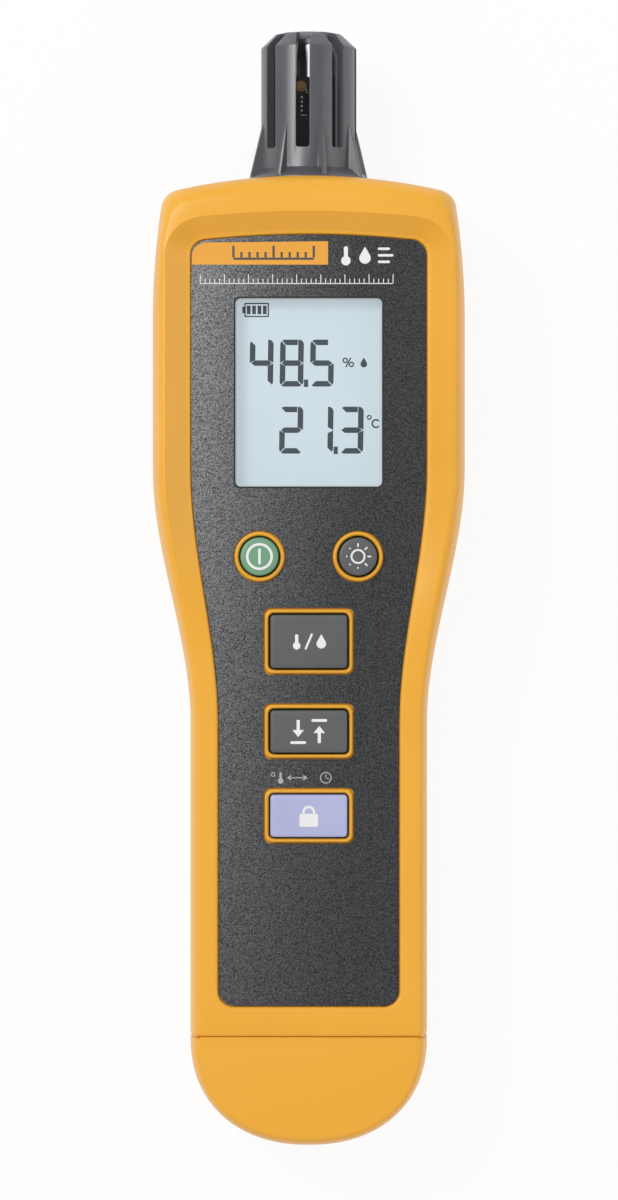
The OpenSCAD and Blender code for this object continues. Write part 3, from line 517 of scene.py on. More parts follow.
def archRing(slim, low, y):  # an upright arch, smaller than the spigot's by slim
    half, high, r = spigot["half"] - slim, spigot["high"] - slim, spigot["r"]
    pts = [(half, low), (half, high - r)] + turn(half - r, high - r, r, 15, 90, 5)
    pts += [(-x, z) for x, z in pts[::-1]]
    return [(x, y, z) for x, z in pts]


rows = [capRow(t, cap["lift"], *cap["rearRim"]) for t in rear["steps"][::-1]]
rows += [capRow(t, case["top"], *cap["frontRim"]) for t in front["steps"]]
capShell = loft("capShell", rows)
combined(capShell, loft("spigot", [archRing(spigot["slim"], spigot["low"], y) for y in spigot["ends"]]), "UNION")
for slim, low, *ends in pockets:
    cut(capShell, loft("pocketTool", [archRing(slim, low, y) for y in ends]))
smoothed(capShell, cap["smooth"])
print("cap", len(capShell.data.polygons))

# raised rings around the keys: share of the ring's width, height
ringProfile = [(0, 29.7), (0, 31.0), (0.07, 31.2), (0.19, 31.38), (0.34, 31.47), (0.5, 31.5), (0.65, 31.46),
               (0.8, 31.32), (0.93, 31.08), (1, 30.7), (1, 29.7)]
rings = []
for name in keyNames:
    wide = keys["roundRing"] if name in keys["round"] else keys["longRing"]
    rows = []
    for share, z in ringProfile:
        r = keys["holeR"] + keys["flare"] * wide * share
        rows.append(atHeight(keyOutline(name, keys["gap"] + wide * share, r), z))
    rings.append(loft("ring", rows, tube=True))
keyRings = joined("keyRings", rings)
smoothed(keyRings, keys["smooth"])
print("key rings")

# keys: how far in from the side, height
keyProfile = [(-1.2, 26.9), (-1.2, 27.9), (0, 27.9), (0, 32.0),
              (0.06, 32.2), (0.2, 32.34), (0.45, 32.4), (1.2, 32.4)]
keyPieces = {}
for name in keyNames:
    rows = [atHeight(keyOutline(name, -inset, max(keys["leastR"], keys["cornerR"] - inset / 2)), z)
            for inset, z in keyProfile]
    keyPieces[name] = loft(name + "Key", rows)
    smoothed(keyPieces[name], keys["smooth"])

# silicone domes under the keys
domes = {name: copied(name + "_dome", name + "Dome") for name in keyNames}
print("keys and domes")

# sensor cage: its ribs reach further up, and its crown is blunter
ribs = {"tip": 91.5, "reach": 0.1, "outside": 9, "taller": 1.9}
crown = {
    "wide": (9.6, 107.9), "narrow": (6, 111.5), "newLow": 108.8, "newNarrow": 6.8,  # radius, height
    "slots": 8, "slotHalf": 1.45, "near": 0.05, "soft": 0.18, "softSteps": 3, "softFrom": 40,
}
cage = copied("sensor_cage", "cageShell")
(wideR, low), (narrowR, high) = crown["wide"], crown["narrow"]
for vert in cage.data.vertices:
    x, y, z = vert.co.x / mm, vert.co.y / mm, vert.co.z / mm - neck["axis"]
    out = sqrt(x * x + z * z)
    if abs(y - ribs["tip"]) < ribs["reach"] and out > ribs["outside"]:
        vert.co.y += ribs["taller"] * mm
    onCrown = out > narrowR - crown["near"] and y > low - crown["near"]
    if onCrown and out + y > wideR + low - 2 * crown["near"]:  # on its outer slope
        share = (wideR - out) / (wideR - narrowR)
        newOut = wideR + (crown["newNarrow"] - wideR) * share
        a = round(atan2(x, z) * crown["slots"] / (2 * pi)) * 2 * pi / crown["slots"]  # the nearest slot
        side, ahead = x * cos(a) - z * sin(a), x * sin(a) + z * cos(a)
        if abs(side) < crown["slotHalf"]:
            ahead = sqrt(newOut ** 2 - side ** 2)  # the slots keep their width
        else:
            side, ahead = side * newOut / out, ahead * newOut / out
        vert.co.x = (side * cos(a) + ahead * sin(a)) * mm
        vert.co.z = (ahead * cos(a) - side * sin(a) + neck["axis"]) * mm
        vert.co.y = (crown["newLow"] + (high - crown["newLow"]) * share) * mm
applied(cage, "BEVEL", width=crown["soft"] * mm, segments=crown["softSteps"], limit_method="ANGLE",
        angle_limit=radians(crown["softFrom"]))
smoothed(cage, crown["softFrom"])
print("cage", len(cage.data.polygons))

# humidity sensor, a dark body with bright pins
airSensor = copied("humidity_sensor", "airSensor")
sensorBody = {"half": 1.65}

# cells, each a steel can in a printed sleeve, modelled once and copied
cell = {
    "sleeveR": 6.0, "smooth": 40,
    "profile": [(0.1, 5.4), (0.1, 5.9), (0, 6.1), (0, 6.5), (0.3, 6.95), (0.8, 7.1), (48.6, 7.1), (49.1, 6.95),
                (49.4, 6.5), (49.4, 6.1), (49.3, 5.9), (49.2, 3.2), (49.4, 2.8), (50.2, 2.7), (50.45, 2.5),
                (50.5, 2)],  # along, radius
}
cellLow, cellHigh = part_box("left_cell")
cellX, cellY, cellZ = ((a + b) / 2 for a, b in zip(cellLow, cellHigh))
rows = [[(cellX / mm + x, cellLow[1] / mm + along, cellZ / mm + z) for x, z in circle(r)]
        for along, r in cell["profile"]]
leftCell = loft("leftCell", rows)
smoothed(leftCell, cell["smooth"])
cells = [leftCell]
for name in ("middle", "right"):
    pick(leftCell)
    bpy.ops.object.duplicate()
    cells.append(named(name + "Cell"))
    editAll(cells[-1])
    if name == "middle":  # this one lies the other way round
        bpy.ops.transform.rotate(value=pi, orient_axis="Z", center_override=(cellX, cellY, 0))
    bpy.ops.transform.translate(value=(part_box(name + "_cell")[0][0] - cellLow[0], 0, 0))
    editDone()
print("cells")

# display window, a clear pane ringed by a dark band of painted shade for the thin shadow at its edge, and a pale
# band of painted highlight on its moulded bevel
pane = {
    "w": 29.9, "l": 38.2, "r": 1.2, "top": 30.6, "border": 0.34, "bevel": 0.22, "drop": 0.3,
    "printed": 0.02, "sunk": 0.05, "shy": 0.01,  # the border stands up and reaches in, the bevel starts lower
}


def paneRing(inset, rise):
    outline = roundRect(pane["w"] - 2 * inset, pane["l"] - 2 * inset, pane["r"] - inset / 2, 0, window["y"])
    return atHeight(outline, pane["top"] + rise)


border, inner = pane["border"], pane["border"] + pane["bevel"]
# the dark ring is painted shade, standing for the thin shadow at the window's edge
rows = [paneRing(0, -pane["sunk"]), paneRing(0, pane["printed"]),
        paneRing(border, pane["printed"]), paneRing(border, -pane["sunk"])]
paneShadeRing = loft("paneShadeRing", rows, tube=True)
# the bevel's pale band is a painted highlight
rows = [paneRing(border, -pane["shy"]), paneRing(inner, -pane["drop"]), paneRing(border, -pane["drop"])]
paneHighlightRing = loft("paneHighlightRing", rows, tube=True)
print("window")

# marks, each a thin solid on the surface that carries it
mark = {"sunk": 0.02, "proud": 0.03}


def slab(outline, z, x=0, y=0, scale=1):
    placed = [(x + scale * markX, y + scale * markY) for markX, markY in outline]
    return prism("mark", placed, z - mark["sunk"], z + mark["proud"])


def band(outer, inner, z):
    low, high = z - mark["sunk"], z + mark["proud"]
    rows = [atHeight(outer, low), atHeight(outer, high), atHeight(inner, high), atHeight(inner, low)]
    return loft("mark", rows, tube=True)


def hoop(x, y, r, stroke, z):
    return band(circle(r, x, y, 48), circle(r - stroke, x, y, 48), z)


def bar(x0, y0, x1, y1, w, z):
    a = degrees(pi / 2 if x1 == x0 else atan((y1 - y0) / (x1 - x0)))
    return slab(turn(x1, y1, w / 2, a - 90, a + 90, 6) + turn(x0, y0, w / 2, a + 90, a + 270, 6), z)


def arcBand(x, y, r, stroke, a0, a1, z):
    return slab(turn(x, y, r, a0, a1, 24) + turn(x, y, r - stroke, a1, a0, 24), z)


thermometer = turn(0, -0.85, 0.75, 116, 424, 20) + turn(0, 1.12, 0.33, 0, 180, 8)
droplet = turn(0, -0.45, 0.95, 150, 390, 20) + [(0, 1.45)]
arrow = [(-0.32, -1.7), (0.32, -1.7), (0.32, 0.3), (1.15, 0.3), (0, 1.7), (-1.15, 0.3), (-0.32, 0.3)]

# display figures, made of strokes lettered round from the top one, with g in the middle
figures = {
    "w": 4.72, "h": 9.38, "stroke": 1.1, "gap": 0.11, "r": 1.0, "tip": 0.3, "lean": 0.016, "pitch": 6.04,
    "rows": (("485", -11.87, 40.2), ("213", -5.95, 26.8)),  # digits, left, low
    "point": (10.9, -0.1, 0.85, 1.5),  # right and up from the row's start, width, height
}
units = {
    "dots": ((7.29, 45.43), (8.51, 44.63)), "dot": (0.55, 0.26), "slash": (7.45, 44.15, 8.35, 45.9),  # per cent
    "droplet": (11, 45, 0.7), "degree": (12.1, 34.05, 0.5, 0.24), "letter": (13.45, 32.8, 0.92, 0.32, 42, 318),
}
battery = {
    "x": -10.4, "y": 55.5, "w": 4.9, "l": 2.85, "r": 0.2, "wall": 0.25, "nub": (-13.25, 0.4, 1.3),
    "bars": 4, "bar": (-12, 0.74, 1.7), "pitch": 1.07,  # x, width, height
}
strokesOf = {"1": "bc", "2": "abged", "3": "abgcd", "4": "fgbc", "5": "afgcd", "8": "abcdefg"}
w, h, t, g, r, tip = (figures[k] for k in ("w", "h", "stroke", "gap", "r", "tip"))
m, bend, short = h / 2, 0.9 * t, 0.55 * t
upperLeft = [(0, m + g / 2)] + turn(r, h - r, r, 180, 140, 4) + [(t, h - t - g), (t, m + short)]
strokes = {
    "a": [(w - t - g, h - t), (w - t - g, h)] + turn(r, h - r, r, 90, 130, 4) + [(t + g, h - t)],
    "b": [(w - t, m + short), (w - t, h)] + turn(w - r, h - r, r, 90, 0, 8) + [(w, m + g / 2)],
    "c": [(w - x, h - y) for x, y in upperLeft],
    "d": [(t + g, t), (w - t - g, t)] + turn(w - r, r, r, -50, -90, 4) + turn(r, r, r, -90, -130, 4),
    "e": [(x, h - y) for x, y in upperLeft],
    "f": upperLeft,
    "g": [(tip, m), (bend, m + t / 2), (w - bend, m + t / 2),
          (w - tip, m), (w - bend, m - t / 2), (bend, m - t / 2)],
}
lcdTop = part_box("lcd_glass")[1][2] / mm
ink = []
for digits, left, low in figures["rows"]:
    for i, digit in enumerate(digits):
        for key in strokesOf[digit]:
            leaning = [(x + figures["lean"] * y, y) for x, y in strokes[key]]
            ink.append(slab(leaning, lcdTop, left + i * figures["pitch"], low))
    right, up, wide, tall = figures["point"]
    ink.append(slab(rect(right, 0, right + wide, tall), lcdTop, left, low + up))
dotR, dotStroke = units["dot"]
ink += [hoop(x, y, dotR, dotStroke, lcdTop) for x, y in units["dots"]]
ink += [bar(*units["slash"], dotStroke, lcdTop), slab(droplet, lcdTop, *units["droplet"]),
        hoop(*units["degree"], lcdTop), arcBand(*units["letter"], lcdTop)]
x, y, w, l, r, wall = (battery[k] for k in ("x", "y", "w", "l", "r", "wall"))
ink.append(band(roundRect(w, l, r, x, y), roundRect(w - 2 * wall, l - 2 * wall, r / 2, x, y), lcdTop))
x, wide, tall = battery["nub"]
ink.append(slab(rect(0, -tall / 2, wide, tall / 2), lcdTop, x, y))
x, wide, tall = battery["bar"]
for i in range(battery["bars"]):
    ink.append(slab(rect(-wide / 2, -tall / 2, wide / 2, tall / 2), lcdTop, x + battery["pitch"] * i, y))
displayFigures = joined("displayFigures", ink)

# film print, plain signs and scales
strip = {"left": -23.3, "right": 3.85, "low": 64.35, "high": 69.0, "r": 2.9, "drop": 0.25, "from": 95}
scales = {  # x, y, how many steps, pitch, height, line width
    "strip": (-15, 65.3, 10, 1.6, 2.8, 0.45), "film": (-21.6, 60.5, 40, 0.96, 1.9, 0.16),
    "every": 5, "short": 0.55, "clear": 0.05,
}
headSigns = {"y": 66.2, "thermometer": (7.4, 1.25), "droplet": (11.2, 1.2), "lines": (14, 16.6, 1.3, 0.5)}
unitSigns = {  # the small signs over the lowest key
    "y": -37.85, "degree": (-7.1, 0.65, 0.45), "thermometer": (-5.6, 0.75), "arrow": (-4.4, -0.2),
    "head": (0.9, 0.55), "overlap": 0.1, "line": 0.2, "thin": 0.17,
    "clock": (3.4, 1.15), "hands": ((0, 0, 0, 0.65), (0.2, -0.1, 0.6, -0.3)),  # from the middle of the clock
}
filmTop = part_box("face_overlay")[1][2] / mm
x, y = strip["left"] + strip["r"], strip["high"] - strip["drop"] - strip["r"]
corner = turn(x, y, strip["r"], strip["from"], 180)
outline = [(strip["right"], strip["low"]), (strip["right"], strip["high"]), *corner,
           (strip["left"], strip["low"])]
headStrip = slab(outline, filmTop)
headStrip.name = "headStrip"


def scaleMarks(x, y, count, pitch, tall, w, z):
    marks = [slab(rect(0, 0, count * pitch, w), z, x, y)]
    for i in range(count + 1):
        length = tall if i % scales["every"] == 0 else scales["short"] * tall
        marks.append(slab(rect(-w / 2, w + scales["clear"], w / 2, length), z, x + pitch * i, y))
    return marks


stripPrint = joined("stripPrint", scaleMarks(*scales["strip"], filmTop + mark["proud"]))
whiteMarks = scaleMarks(*scales["film"], filmTop)
y = headSigns["y"]
for outline, (x, scale) in ((thermometer, headSigns["thermometer"]), (droplet, headSigns["droplet"])):
    whiteMarks.append(slab(outline, filmTop, x, y, scale))
left, right, apart, w = headSigns["lines"]
whiteMarks += [bar(left, y + up, right - abs(up) / 2, y + up, w, filmTop) for up in (-apart, 0, apart)]
filmPrint = joined("filmPrint", whiteMarks)

y, line, thin = (unitSigns[k] for k in ("y", "line", "thin"))
x, up, r = unitSigns["degree"]
greyMarks = [hoop(x, y + up, r, thin, filmTop)]
x, scale = unitSigns["thermometer"]
greyMarks.append(slab(thermometer, filmTop, x, y, scale))
left, right = unitSigns["arrow"]
long, half = unitSigns["head"]
inner = long - unitSigns["overlap"]
greyMarks.append(bar(left + inner, y, right - inner, y, line, filmTop))
greyMarks.append(slab([(0, 0), (long, -half), (long, half)], filmTop, left, y))
greyMarks.append(slab([(0, 0), (-long, half), (-long, -half)], filmTop, right, y))
x, r = unitSigns["clock"]
greyMarks.append(hoop(x, y, r, line, filmTop))
greyMarks += [bar(x + x0, y + y0, x + x1, y + y1, thin, filmTop) for x0, y0, x1, y1 in unitSigns["hands"]]
unitPrint = joined("unitPrint", greyMarks)

# print on the sensor board, the corner marks of the sensor
corners = {
    "lines": [(-1.5, 95.4, -0.4, 95.4), (-0.5, 99.95, -0.5, 100.6), (-0.5, 99.95, -0.15, 99.95)],
    "w": 0.16,
}
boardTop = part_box("sensor_board")[1][2] / mm
boardPrint = joined("boardPrint", [bar(*line, corners["w"], boardTop) for line in corners["lines"]])

# key signs: a ring with a stem, a sun, a thermometer and a droplet, arrows to a line, a padlock
signs = {
    "ring": (2.68, 0.5), "stem": (1.35, 0.52), "sun": (1.48, 0.37), "rays": (8, 2, 2.5, 0.3),
    "pair": (-2.4, 2.5), "slash": (0.6, 1.4, 0.42), "arrows": (2.1, 0.6), "stops": (0.8, 3.4, 2.2, 0.55),
    "lock": (3.7, 2.6, 0.35), "lockDown": 0.85, "shackle": (0.75, 1.3, 0.5), "feet": (1.05, 0.48, 0.25),
}
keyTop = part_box("power_key")[1][2] / mm
x, y = keys["round"]["power"], keys["roundY"]
half, w = signs["stem"]
keyMarks = {"power": [hoop(x, y, *signs["ring"], keyTop), bar(x, y - half, x, y + half, w, keyTop)]}
x = keys["round"]["backlight"]
count, near, far, w = signs["rays"]
keyMarks["backlight"] = [hoop(x, y, *signs["sun"], keyTop)]
for a in [2 * pi * i / count for i in range(count)]:
    c, s = cos(a), sin(a)
    keyMarks["backlight"].append(bar(x + near * c, y + near * s, x + far * c, y + far * s, w, keyTop))
y = keys["long"]["mode"][0]
(left, right), (x, tall, w) = signs["pair"], signs["slash"]
keyMarks["mode"] = [slab(thermometer, keyTop, left, y), bar(-x, y - tall, x, y + tall, w, keyTop),
                    slab(droplet, keyTop, right, y)]
y = keys["long"]["extremes"][0]
(x, off), (near, far, up, w) = signs["arrows"], signs["stops"]
keyMarks["extremes"] = [
    slab([(px, -py) for px, py in arrow], keyTop, -x, y + off), bar(-far, y - up, -near, y - up, w, keyTop),
    slab(arrow, keyTop, x, y - off), bar(near, y + up, far, y + up, w, keyTop),
]
y = keys["long"]["hold"][0]
up, r, stroke = signs["shackle"]
keyMarks["hold"] = [slab(roundRect(*signs["lock"], 0, y - signs["lockDown"]), keyTop),
                    arcBand(0, y + up, r, stroke, 0, 180, keyTop)]
x, up, w = signs["feet"]
keyMarks["hold"] += [slab(rect(-w, 0, w, w), keyTop, side * x, y + up) for side in (-1, 1)]
keySigns = {name: joined(name + "Sign", marks) for name, marks in keyMarks.items()}
print("marks")


# paint
def linear(code):  # an sRGB hex colour as the linear values that a socket takes
    shares = [int(code[i:i + 2], 16) / 255 for i in (0, 2, 4)]
    return (*[c / 12.92 if c < 0.04045 else ((c + 0.055) / 1.055) ** 2.4 for c in shares], 1)


def wired(owner, n, inputs):  # a socket is linked, any other value is set
    for key, value in inputs.items():
        if isinstance(value, bpy.types.NodeSocket):
            owner.node_tree.links.new(value, n.inputs[key])
        else:
            n.inputs[key].default_value = value


def node(mat, kind, inputs, **settings):
    n = mat.node_tree.nodes.new(kind)
    for key, value in settings.items():
        setattr(n, key, value)
    wired(mat, n, inputs)
    return n


grain = {"bump": 0.35, "spread": 0.05, "contrast": (0.3, 0.7), "detail": 3, "blotchDetail": 4}


# two patterns, a slow drift of the colour and a fine grain that moves the light
# grain finer than about 0.2 mm would not show in the render, so it is drawn that coarse or coarser
# the default IOR of 1.5 is that of these plastics, inks, glass and lacquers
def grained(name, dark, light, rough, grainMm, depthMm, blotchMm=18, metal=0, coat=0, spec=0.5):
    mat = bpy.data.materials.new(name)
    mat.use_nodes = True
    coords = node(mat, "ShaderNodeTexCoord", {}).outputs["Object"]
    blotch = node(mat, "ShaderNodeTexNoise",
                  {"Vector": coords, "Scale": 1 / (blotchMm * mm), "Detail": grain["blotchDetail"]})
    fine = node(mat, "ShaderNodeTexNoise",
                {"Vector": coords, "Scale": 1 / (grainMm * mm), "Detail": grain["detail"]})
    ramp = node(mat, "ShaderNodeValToRGB", {"Fac": blotch.outputs["Fac"]})
    for stop, place, code in zip(ramp.color_ramp.elements, grain["contrast"], (dark, light)):
        stop.position = place
        stop.color = linear(code)
    bump = node(mat, "ShaderNodeBump",
                {"Height": fine.outputs["Fac"], "Strength": grain["bump"], "Distance": depthMm * mm})
    sheen = node(mat, "ShaderNodeMapRange",
                 {"Value": fine.outputs["Fac"],
                  "To Min": rough - grain["spread"], "To Max": rough + grain["spread"]})
    wired(mat, mat.node_tree.nodes["Principled BSDF"], {
        "Base Color": ramp.outputs["Color"], "Roughness": sheen.outputs["Result"],
        "Normal": bump.outputs["Normal"], "Metallic": metal, "Coat Weight": coat, "Specular IOR Level": spec,
    })
    return mat


def painted(obj, *mats):
    obj.data.materials.clear()
    for mat in mats:
        obj.data.materials.append(mat)


# spark-eroded ABS: a fine pebble breaks the light into a satin sheen
# its grit of 0.1 mm is drawn at 0.45 mm to show
orange = grained("abs_orange_sparkEroded", "ecab31", "f1af34", 0.4, 0.45, 0.09)
# satin ABS: the cap's tool is smoother, so its colour lies even and the edges catch a soft light
capOrange = grained("abs_orange_satinMoulded", "edac32", "f0ae34", 0.4, 0.4, 0.01, blotchMm=40)
# grey ABS with the same pebble, finer and a little glossier, so that the ribs and slots get pale rims
cageMat = grained("abs_grey_sparkEroded", "4b4c52", "54555b", 0.33, 0.3, 0.015, spec=0.8)
# satin ABS keys: flat, even colour with only a broad highlight at the rim
greenMat = grained("abs_green_satinMoulded", "6c9a7a", "74a384", 0.4, 0.3, 0.01)
greyMat = grained("abs_keyGrey_satinMoulded", "56585a", "5d5f61", 0.42, 0.3, 0.01)
lilacMat = grained("abs_lilac_satinMoulded", "aab0d6", "b4bae0", 0.42, 0.3, 0.01)
# satin black ABS, which swallows most light inside the case
blackMat = grained("abs_black_satinMoulded", "141416", "1e1e20", 0.5, 0.4, 0.02)
# white polycarbonate, moulded: pale and soft, it lights the display's surround
whiteMat = grained("polycarbonate_white_moulded", "dedede", "eaeaea", 0.45, 0.4, 0.02)
# rolled, nickel-plated steel: mirrors the room, softened by the marks of the rolling
metalMat = grained("steel_rolledNickelPlated", "b9babc", "cbccce", 0.28, 0.2, 0.01, metal=1)
# gold over copper: warm and clean, with a soft mirror
goldMat = grained("copper_goldPlated", "d9b060", "e8c478", 0.3, 0.2, 0.01, metal=1)
# dipped epoxy bead: ochre under a glossy skin
beadMat = grained("epoxy_gold_dipped", "94702f", "a8823c", 0.4, 0.3, 0.01, coat=0.4)
# glass epoxy under solder mask: dark, wet-looking, and a little uneven where copper lies under it
boardMat = grained("glassEpoxy_greenSolderMask", "0d4a2a", "14603a", 0.3, 0.6, 0.02, blotchMm=6, coat=0.4)
blackBoardMat = grained("glassEpoxy_blackSolderMask", "08090a", "101113", 0.4, 0.6, 0.02, blotchMm=5, coat=0.1)
# moulded nitrile rubber: matt and almost black
rubberMat = grained("nitrileRubber_moulded", "161616", "222222", 0.7, 0.4, 0.03)
# moulded silicone: milky grey with a dull sheen
siliconeMat = grained("siliconeRubber_moulded", "b8babd", "c8cacd", 0.5, 0.5, 0.02)
# silicone cut from conductive layers: fine pink bands; their 0.1 mm is drawn at 0.4 mm to show
stripMat = grained("siliconeRubber_layeredCut", "b87880", "d8a0a8", 0.6, 0.12, 0.02, blotchMm=0.4)
# shrunk PVC sleeve: deep blue print under a smooth glossy film
sleeveMat = grained("pvc_shrunkPrintedSleeve", "20386a", "2c4a84", 0.35, 0.8, 0.01, blotchMm=6, coat=0.3)
# matt polyester film: a plain pale plate
labelMat = grained("polyester_mattFilm", "c8c8c6", "d4d4d2", 0.5, 0.5, 0.01)
# float glass under a polariser: a cool grey field with a painted glow, an emission that evens out the shade
# inside the display opening
lcdMat = grained("floatGlass_polarised", "a6a9a6", "aaadaa", 0.25, 0.6, 0.003, blotchMm=30)
wired(lcdMat, lcdMat.node_tree.nodes["Principled BSDF"],
      {"Emission Color": linear("d6e0e7"), "Emission Strength": 0.65})
# screen-printed inks: flat matt colour that stands on the surface
whiteInk = grained("screenInk_white", "e6e6e6", "eeeeee", 0.6, 0.2, 0.005)
greyInk = grained("screenInk_grey", "a4a6a8", "b0b2b4", 0.6, 0.2, 0.005)
stripInk = grained("screenInk_orange", "e6a236", "eaa83c", 0.5, 0.3, 0.005)
darkInk = grained("screenInk_dark", "4a4846", "565452", 0.6, 0.3, 0.005)
# painted shade: a dark ring for the thin shadow at the display window's edge
paintedShadeInk = grained("paintedShade_black", "161718", "202122", 0.5, 0.3, 0.005)
# liquid crystal turned dark: soft grey figures behind the polariser
figureInk = grained("liquidCrystal_dark", "4a4d53", "54575d", 0.5, 0.5, 0.003)
# a pale band on the bevel: a painted highlight for the bright thin line that the cut edge of clear acrylic
# gathers
paintedHighlightMat = grained("paintedHighlight_bevel", "c4ccd0", "ccd4d8", 0.15, 0.8, 0.003)

# polyester film with metallic ink: a fine sparkle, with a painted sheen that makes it lighter to its upper left,
# and nearly black to its right
# the flakes of 0.05 mm are drawn at 0.26 mm to show
film = {
    "dark": "1c1e20", "light": "a8aaae", "flakeMm": 0.26, "flake": 0.88, "detail": 2,
    "least": 0.07, "even": 0.05, "most": 0.45, "lowShare": 0.13, "power": 1.8,
    "right": 14, "left": -22, "low": -78, "high": 58,
}
overlayMat = grained("polyester_metallicInkFilm", film["dark"], film["light"], 0.5, 0.3, 0.02, spec=0.25)
# painted sheen: the colour rises towards the upper left, where the light at the left reflects, and the flakes
# ride on it
coords = node(overlayMat, "ShaderNodeTexCoord", {}).outputs["Object"]
apart = node(overlayMat, "ShaderNodeSeparateXYZ", {"Vector": coords})
across = node(overlayMat, "ShaderNodeMapRange",
              {"Value": apart.outputs["X"], "From Min": film["right"] * mm, "From Max": film["left"] * mm})
bent = node(overlayMat, "ShaderNodeMath", {0: across.outputs["Result"], 1: film["power"]}, operation="POWER")
along = node(overlayMat, "ShaderNodeMapRange",
             {"Value": apart.outputs["Y"], "From Min": film["low"] * mm, "From Max": film["high"] * mm,
              "To Min": film["lowShare"], "To Max": film["most"]})
least = film["least"] + film["even"]
fade = node(overlayMat, "ShaderNodeMath",
            {0: bent.outputs[0], 1: along.outputs["Result"], 2: least}, operation="MULTIPLY_ADD")
flakes = node(overlayMat, "ShaderNodeTexNoise",
              {"Vector": coords, "Scale": 1 / (film["flakeMm"] * mm), "Detail": film["detail"]})
low, high = grain["contrast"]
glint = node(overlayMat, "ShaderNodeMapRange",
             {"Value": flakes.outputs["Fac"], "From Min": low, "From Max": high,
              "To Min": 1 - film["flake"], "To Max": 1 + film["flake"]})
total = node(overlayMat, "ShaderNodeMath",
             {0: fade.outputs[0], 1: glint.outputs["Result"], 2: -film["even"]}, operation="MULTIPLY_ADD")
ramp = overlayMat.node_tree.nodes["Color Ramp"]
ramp.color_ramp.elements[0].position = 0
ramp.color_ramp.elements[1].position = 1
wired(overlayMat, ramp, {"Fac": total.outputs[0]})

# polished clear acrylic: seen straight through, with a faint reflection on top
glaze = {"tint": "fafdff", "shine": 0.06}
windowMat = grained("acrylic_clear_polished", "3a4044", "444a4e", 0.08, 2.0, 0.002)
clear = node(windowMat, "ShaderNodeBsdfTransparent", {"Color": linear(glaze["tint"])})
polish = windowMat.node_tree.nodes["Principled BSDF"].outputs[0]
glazed = node(windowMat, "ShaderNodeMixShader", {0: glaze["shine"], 1: clear.outputs[0], 2: polish})
wired(windowMat, windowMat.node_tree.nodes["Material Output"], {"Surface": glazed.outputs[0]})
print("materials")

painted(frontShell, orange, whiteMat)
for face in frontShell.data.polygons:
    inX = abs(face.center.x) < (window["w"] / 2 + window["near"]) * mm
    inY = abs(face.center.y - window["y"] * mm) < (window["l"] / 2 + window["near"]) * mm
    if inX and inY and abs(face.normal.z) < window["upright"]:
        face.material_index = 1  # the walls of the display opening
painted(rearShell, orange)
painted(keyRings, orange)
painted(capShell, capOrange)
painted(cage, cageMat)
for obj in cells:
    painted(obj, sleeveMat, metalMat)
    middleX = sum(v.co.x for v in obj.data.vertices) / len(obj.data.vertices)
    for face in obj.data.polygons:
        out = sqrt((face.center.x - middleX) ** 2 + (face.center.z - cellZ) ** 2)
        face.material_index = int(out < cell["sleeveR"] * mm)  # the ends of the can
painted(airSensor, blackMat, whiteMat)
middleX = sum(v.co.x for v in airSensor.data.vertices) / len(airSensor.data.vertices)
for face in airSensor.data.polygons:
    face.material_index = int(abs(face.center.x - middleX) > sensorBody["half"] * mm)  # the pins
for name, obj in keyPieces.items():
    painted(obj, {"power": greenMat, "hold": lilacMat}.get(name, greyMat))
    painted(keySigns[name], whiteInk)
    painted(domes[name], siliconeMat)
nodePaint = {
    "face_overlay": overlayMat, "display_window": windowMat, "lcd_glass": lcdMat, "display_frame": whiteMat,
    "light_guide": whiteMat, "contact_strip": stripMat, "main_board": boardMat, "processor": blackMat,
    "crystal": metalMat, "capacitors": blackMat, "keypad_mat": siliconeMat, "key_contacts": goldMat,
    "cage_gasket": rubberMat, "sensor_board": blackBoardMat, "thermistor": beadMat, "sensor_header": blackMat,
    "battery_cover": blackMat, "upper_contacts": metalMat, "cap_contact_plate": blackBoardMat,
    "cap_contacts": metalMat, "case_screws": metalMat, "board_screws": metalMat, "rear_label": labelMat,
}
for name, mat in nodePaint.items():
    painted(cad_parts[name], mat)
print("painted")

# riding and replacing
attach(frontShell, "meter")
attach(rearShell, "meter")
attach(keyRings, "meter")
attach(cage, "meter")
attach(airSensor, "meter")
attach(capShell, "cap")
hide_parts("front_case")
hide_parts("front_case")
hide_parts("rear_case")
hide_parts("sensor_cage")
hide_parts("humidity_sensor")
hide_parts("end_cap")
for obj, name in zip(cells, ("left_cell", "middle_cell", "right_cell")):
    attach(obj, "meter")
    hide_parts(name)
for obj, mat, slot in ((paneShadeRing, paintedShadeInk, "window_plastic"), (paneHighlightRing, paintedHighlightMat, "window_plastic"),
                       (displayFigures, figureInk, "display_glass"), (boardPrint, whiteInk, "white_plastic"),
                       (headStrip, stripInk, "overlay_film"), (stripPrint, darkInk, "overlay_film"),
                       (filmPrint, whiteInk, "overlay_film"), (unitPrint, greyInk, "overlay_film")):
    painted(obj, mat)
    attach(obj, "meter")
for name, obj in keyPieces.items():
    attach(obj, name + "_button")
    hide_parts(name + "_key")
    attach(keySigns[name], name + "_button")
for name, obj in domes.items():
    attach(obj, "meter")
    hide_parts(name + "_dome")
    low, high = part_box(name + "_dome")
    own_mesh(obj)
print("pieces placed")

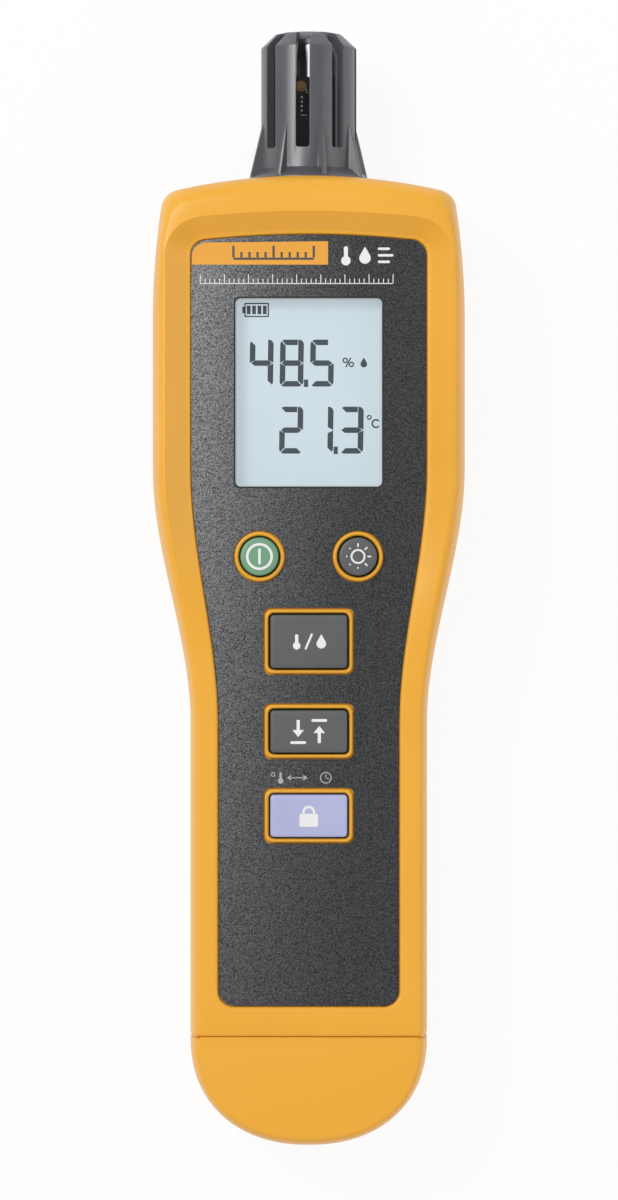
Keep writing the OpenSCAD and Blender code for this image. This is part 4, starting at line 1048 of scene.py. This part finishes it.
# stage, light and camera
stage = {
    "floorMm": 6000, "under": 0.5, "floorWhite": 0.92, "world": 0.5,
    "viewMm": 1100, "frameMm": 240, "sensorMm": 36, "aim": (0.05, -2.45, 26),  # how far off, how much it takes in
}
lights = {
    "topLeft": {"place": (-860, 700, 1430), "size": 750, "power": 17.5},
    "right": {"place": (820, 120, 520), "size": 600, "power": 1.5},
    "low": {"place": (150, -1400, 650), "size": 800, "power": 2.4, "tint": "ffd8b0"},
}
bpy.ops.mesh.primitive_plane_add(size=stage["floorMm"] * mm, location=(0, 0, -stage["under"] * mm))
floor = named("floor")
# painted board: matt, pale and even
# the camera and mirrors see it as white, with the shadows on it
floorMat = grained("paintedBoard_pale_matt", "f4f4f4", "f8f8f8", 0.9, 3, 0.02, blotchMm=200, spec=0)
path = node(floorMat, "ShaderNodeLightPath", {})
mirrored = node(floorMat, "ShaderNodeMath",
                {0: path.outputs["Is Glossy Ray"], 1: path.outputs["Is Transmission Ray"]}, operation="ADD")
seen = node(floorMat, "ShaderNodeMath",
            {0: path.outputs["Is Camera Ray"], 1: mirrored.outputs[0]}, operation="ADD")
share = node(floorMat, "ShaderNodeMath", {0: seen.outputs[0], 1: stage["floorWhite"]}, operation="MULTIPLY")
white = node(floorMat, "ShaderNodeEmission", {"Strength": 1})
board = floorMat.node_tree.nodes["Principled BSDF"].outputs[0]
shown = node(floorMat, "ShaderNodeMixShader", {0: share.outputs[0], 1: board, 2: white.outputs[0]})
wired(floorMat, floorMat.node_tree.nodes["Material Output"], {"Surface": shown.outputs[0]})
painted(floor, floorMat)

world = bpy.data.worlds.new("studio")
bpy.context.scene.world = world
world.use_nodes = True
wired(world, world.node_tree.nodes["Background"], {"Color": linear("ffffff"), "Strength": stage["world"]})

for name, values in lights.items():
    bpy.ops.object.light_add(type="AREA", location=[v * mm for v in values["place"]])
    lamp = bpy.context.object
    lamp.name = name
    lamp.data.size = values["size"] * mm
    lamp.data.energy = values["power"]
    lamp.data.color = linear(values.get("tint", "ffffff"))[:3]
    lamp.rotation_euler = lamp.location.to_track_quat("Z", "Y").to_euler()

x, y, z = stage["aim"]
bpy.ops.object.camera_add(location=(x * mm, y * mm, (z + stage["viewMm"]) * mm), rotation=(0, 0, 0))
camera = bpy.context.object
camera.data.sensor_fit = "VERTICAL"
camera.data.sensor_height = stage["sensorMm"]
camera.data.lens = stage["sensorMm"] * stage["viewMm"] / stage["frameMm"]
bpy.context.scene.camera = camera
bpy.context.scene.view_settings.view_transform = "Standard"
print("stage set")
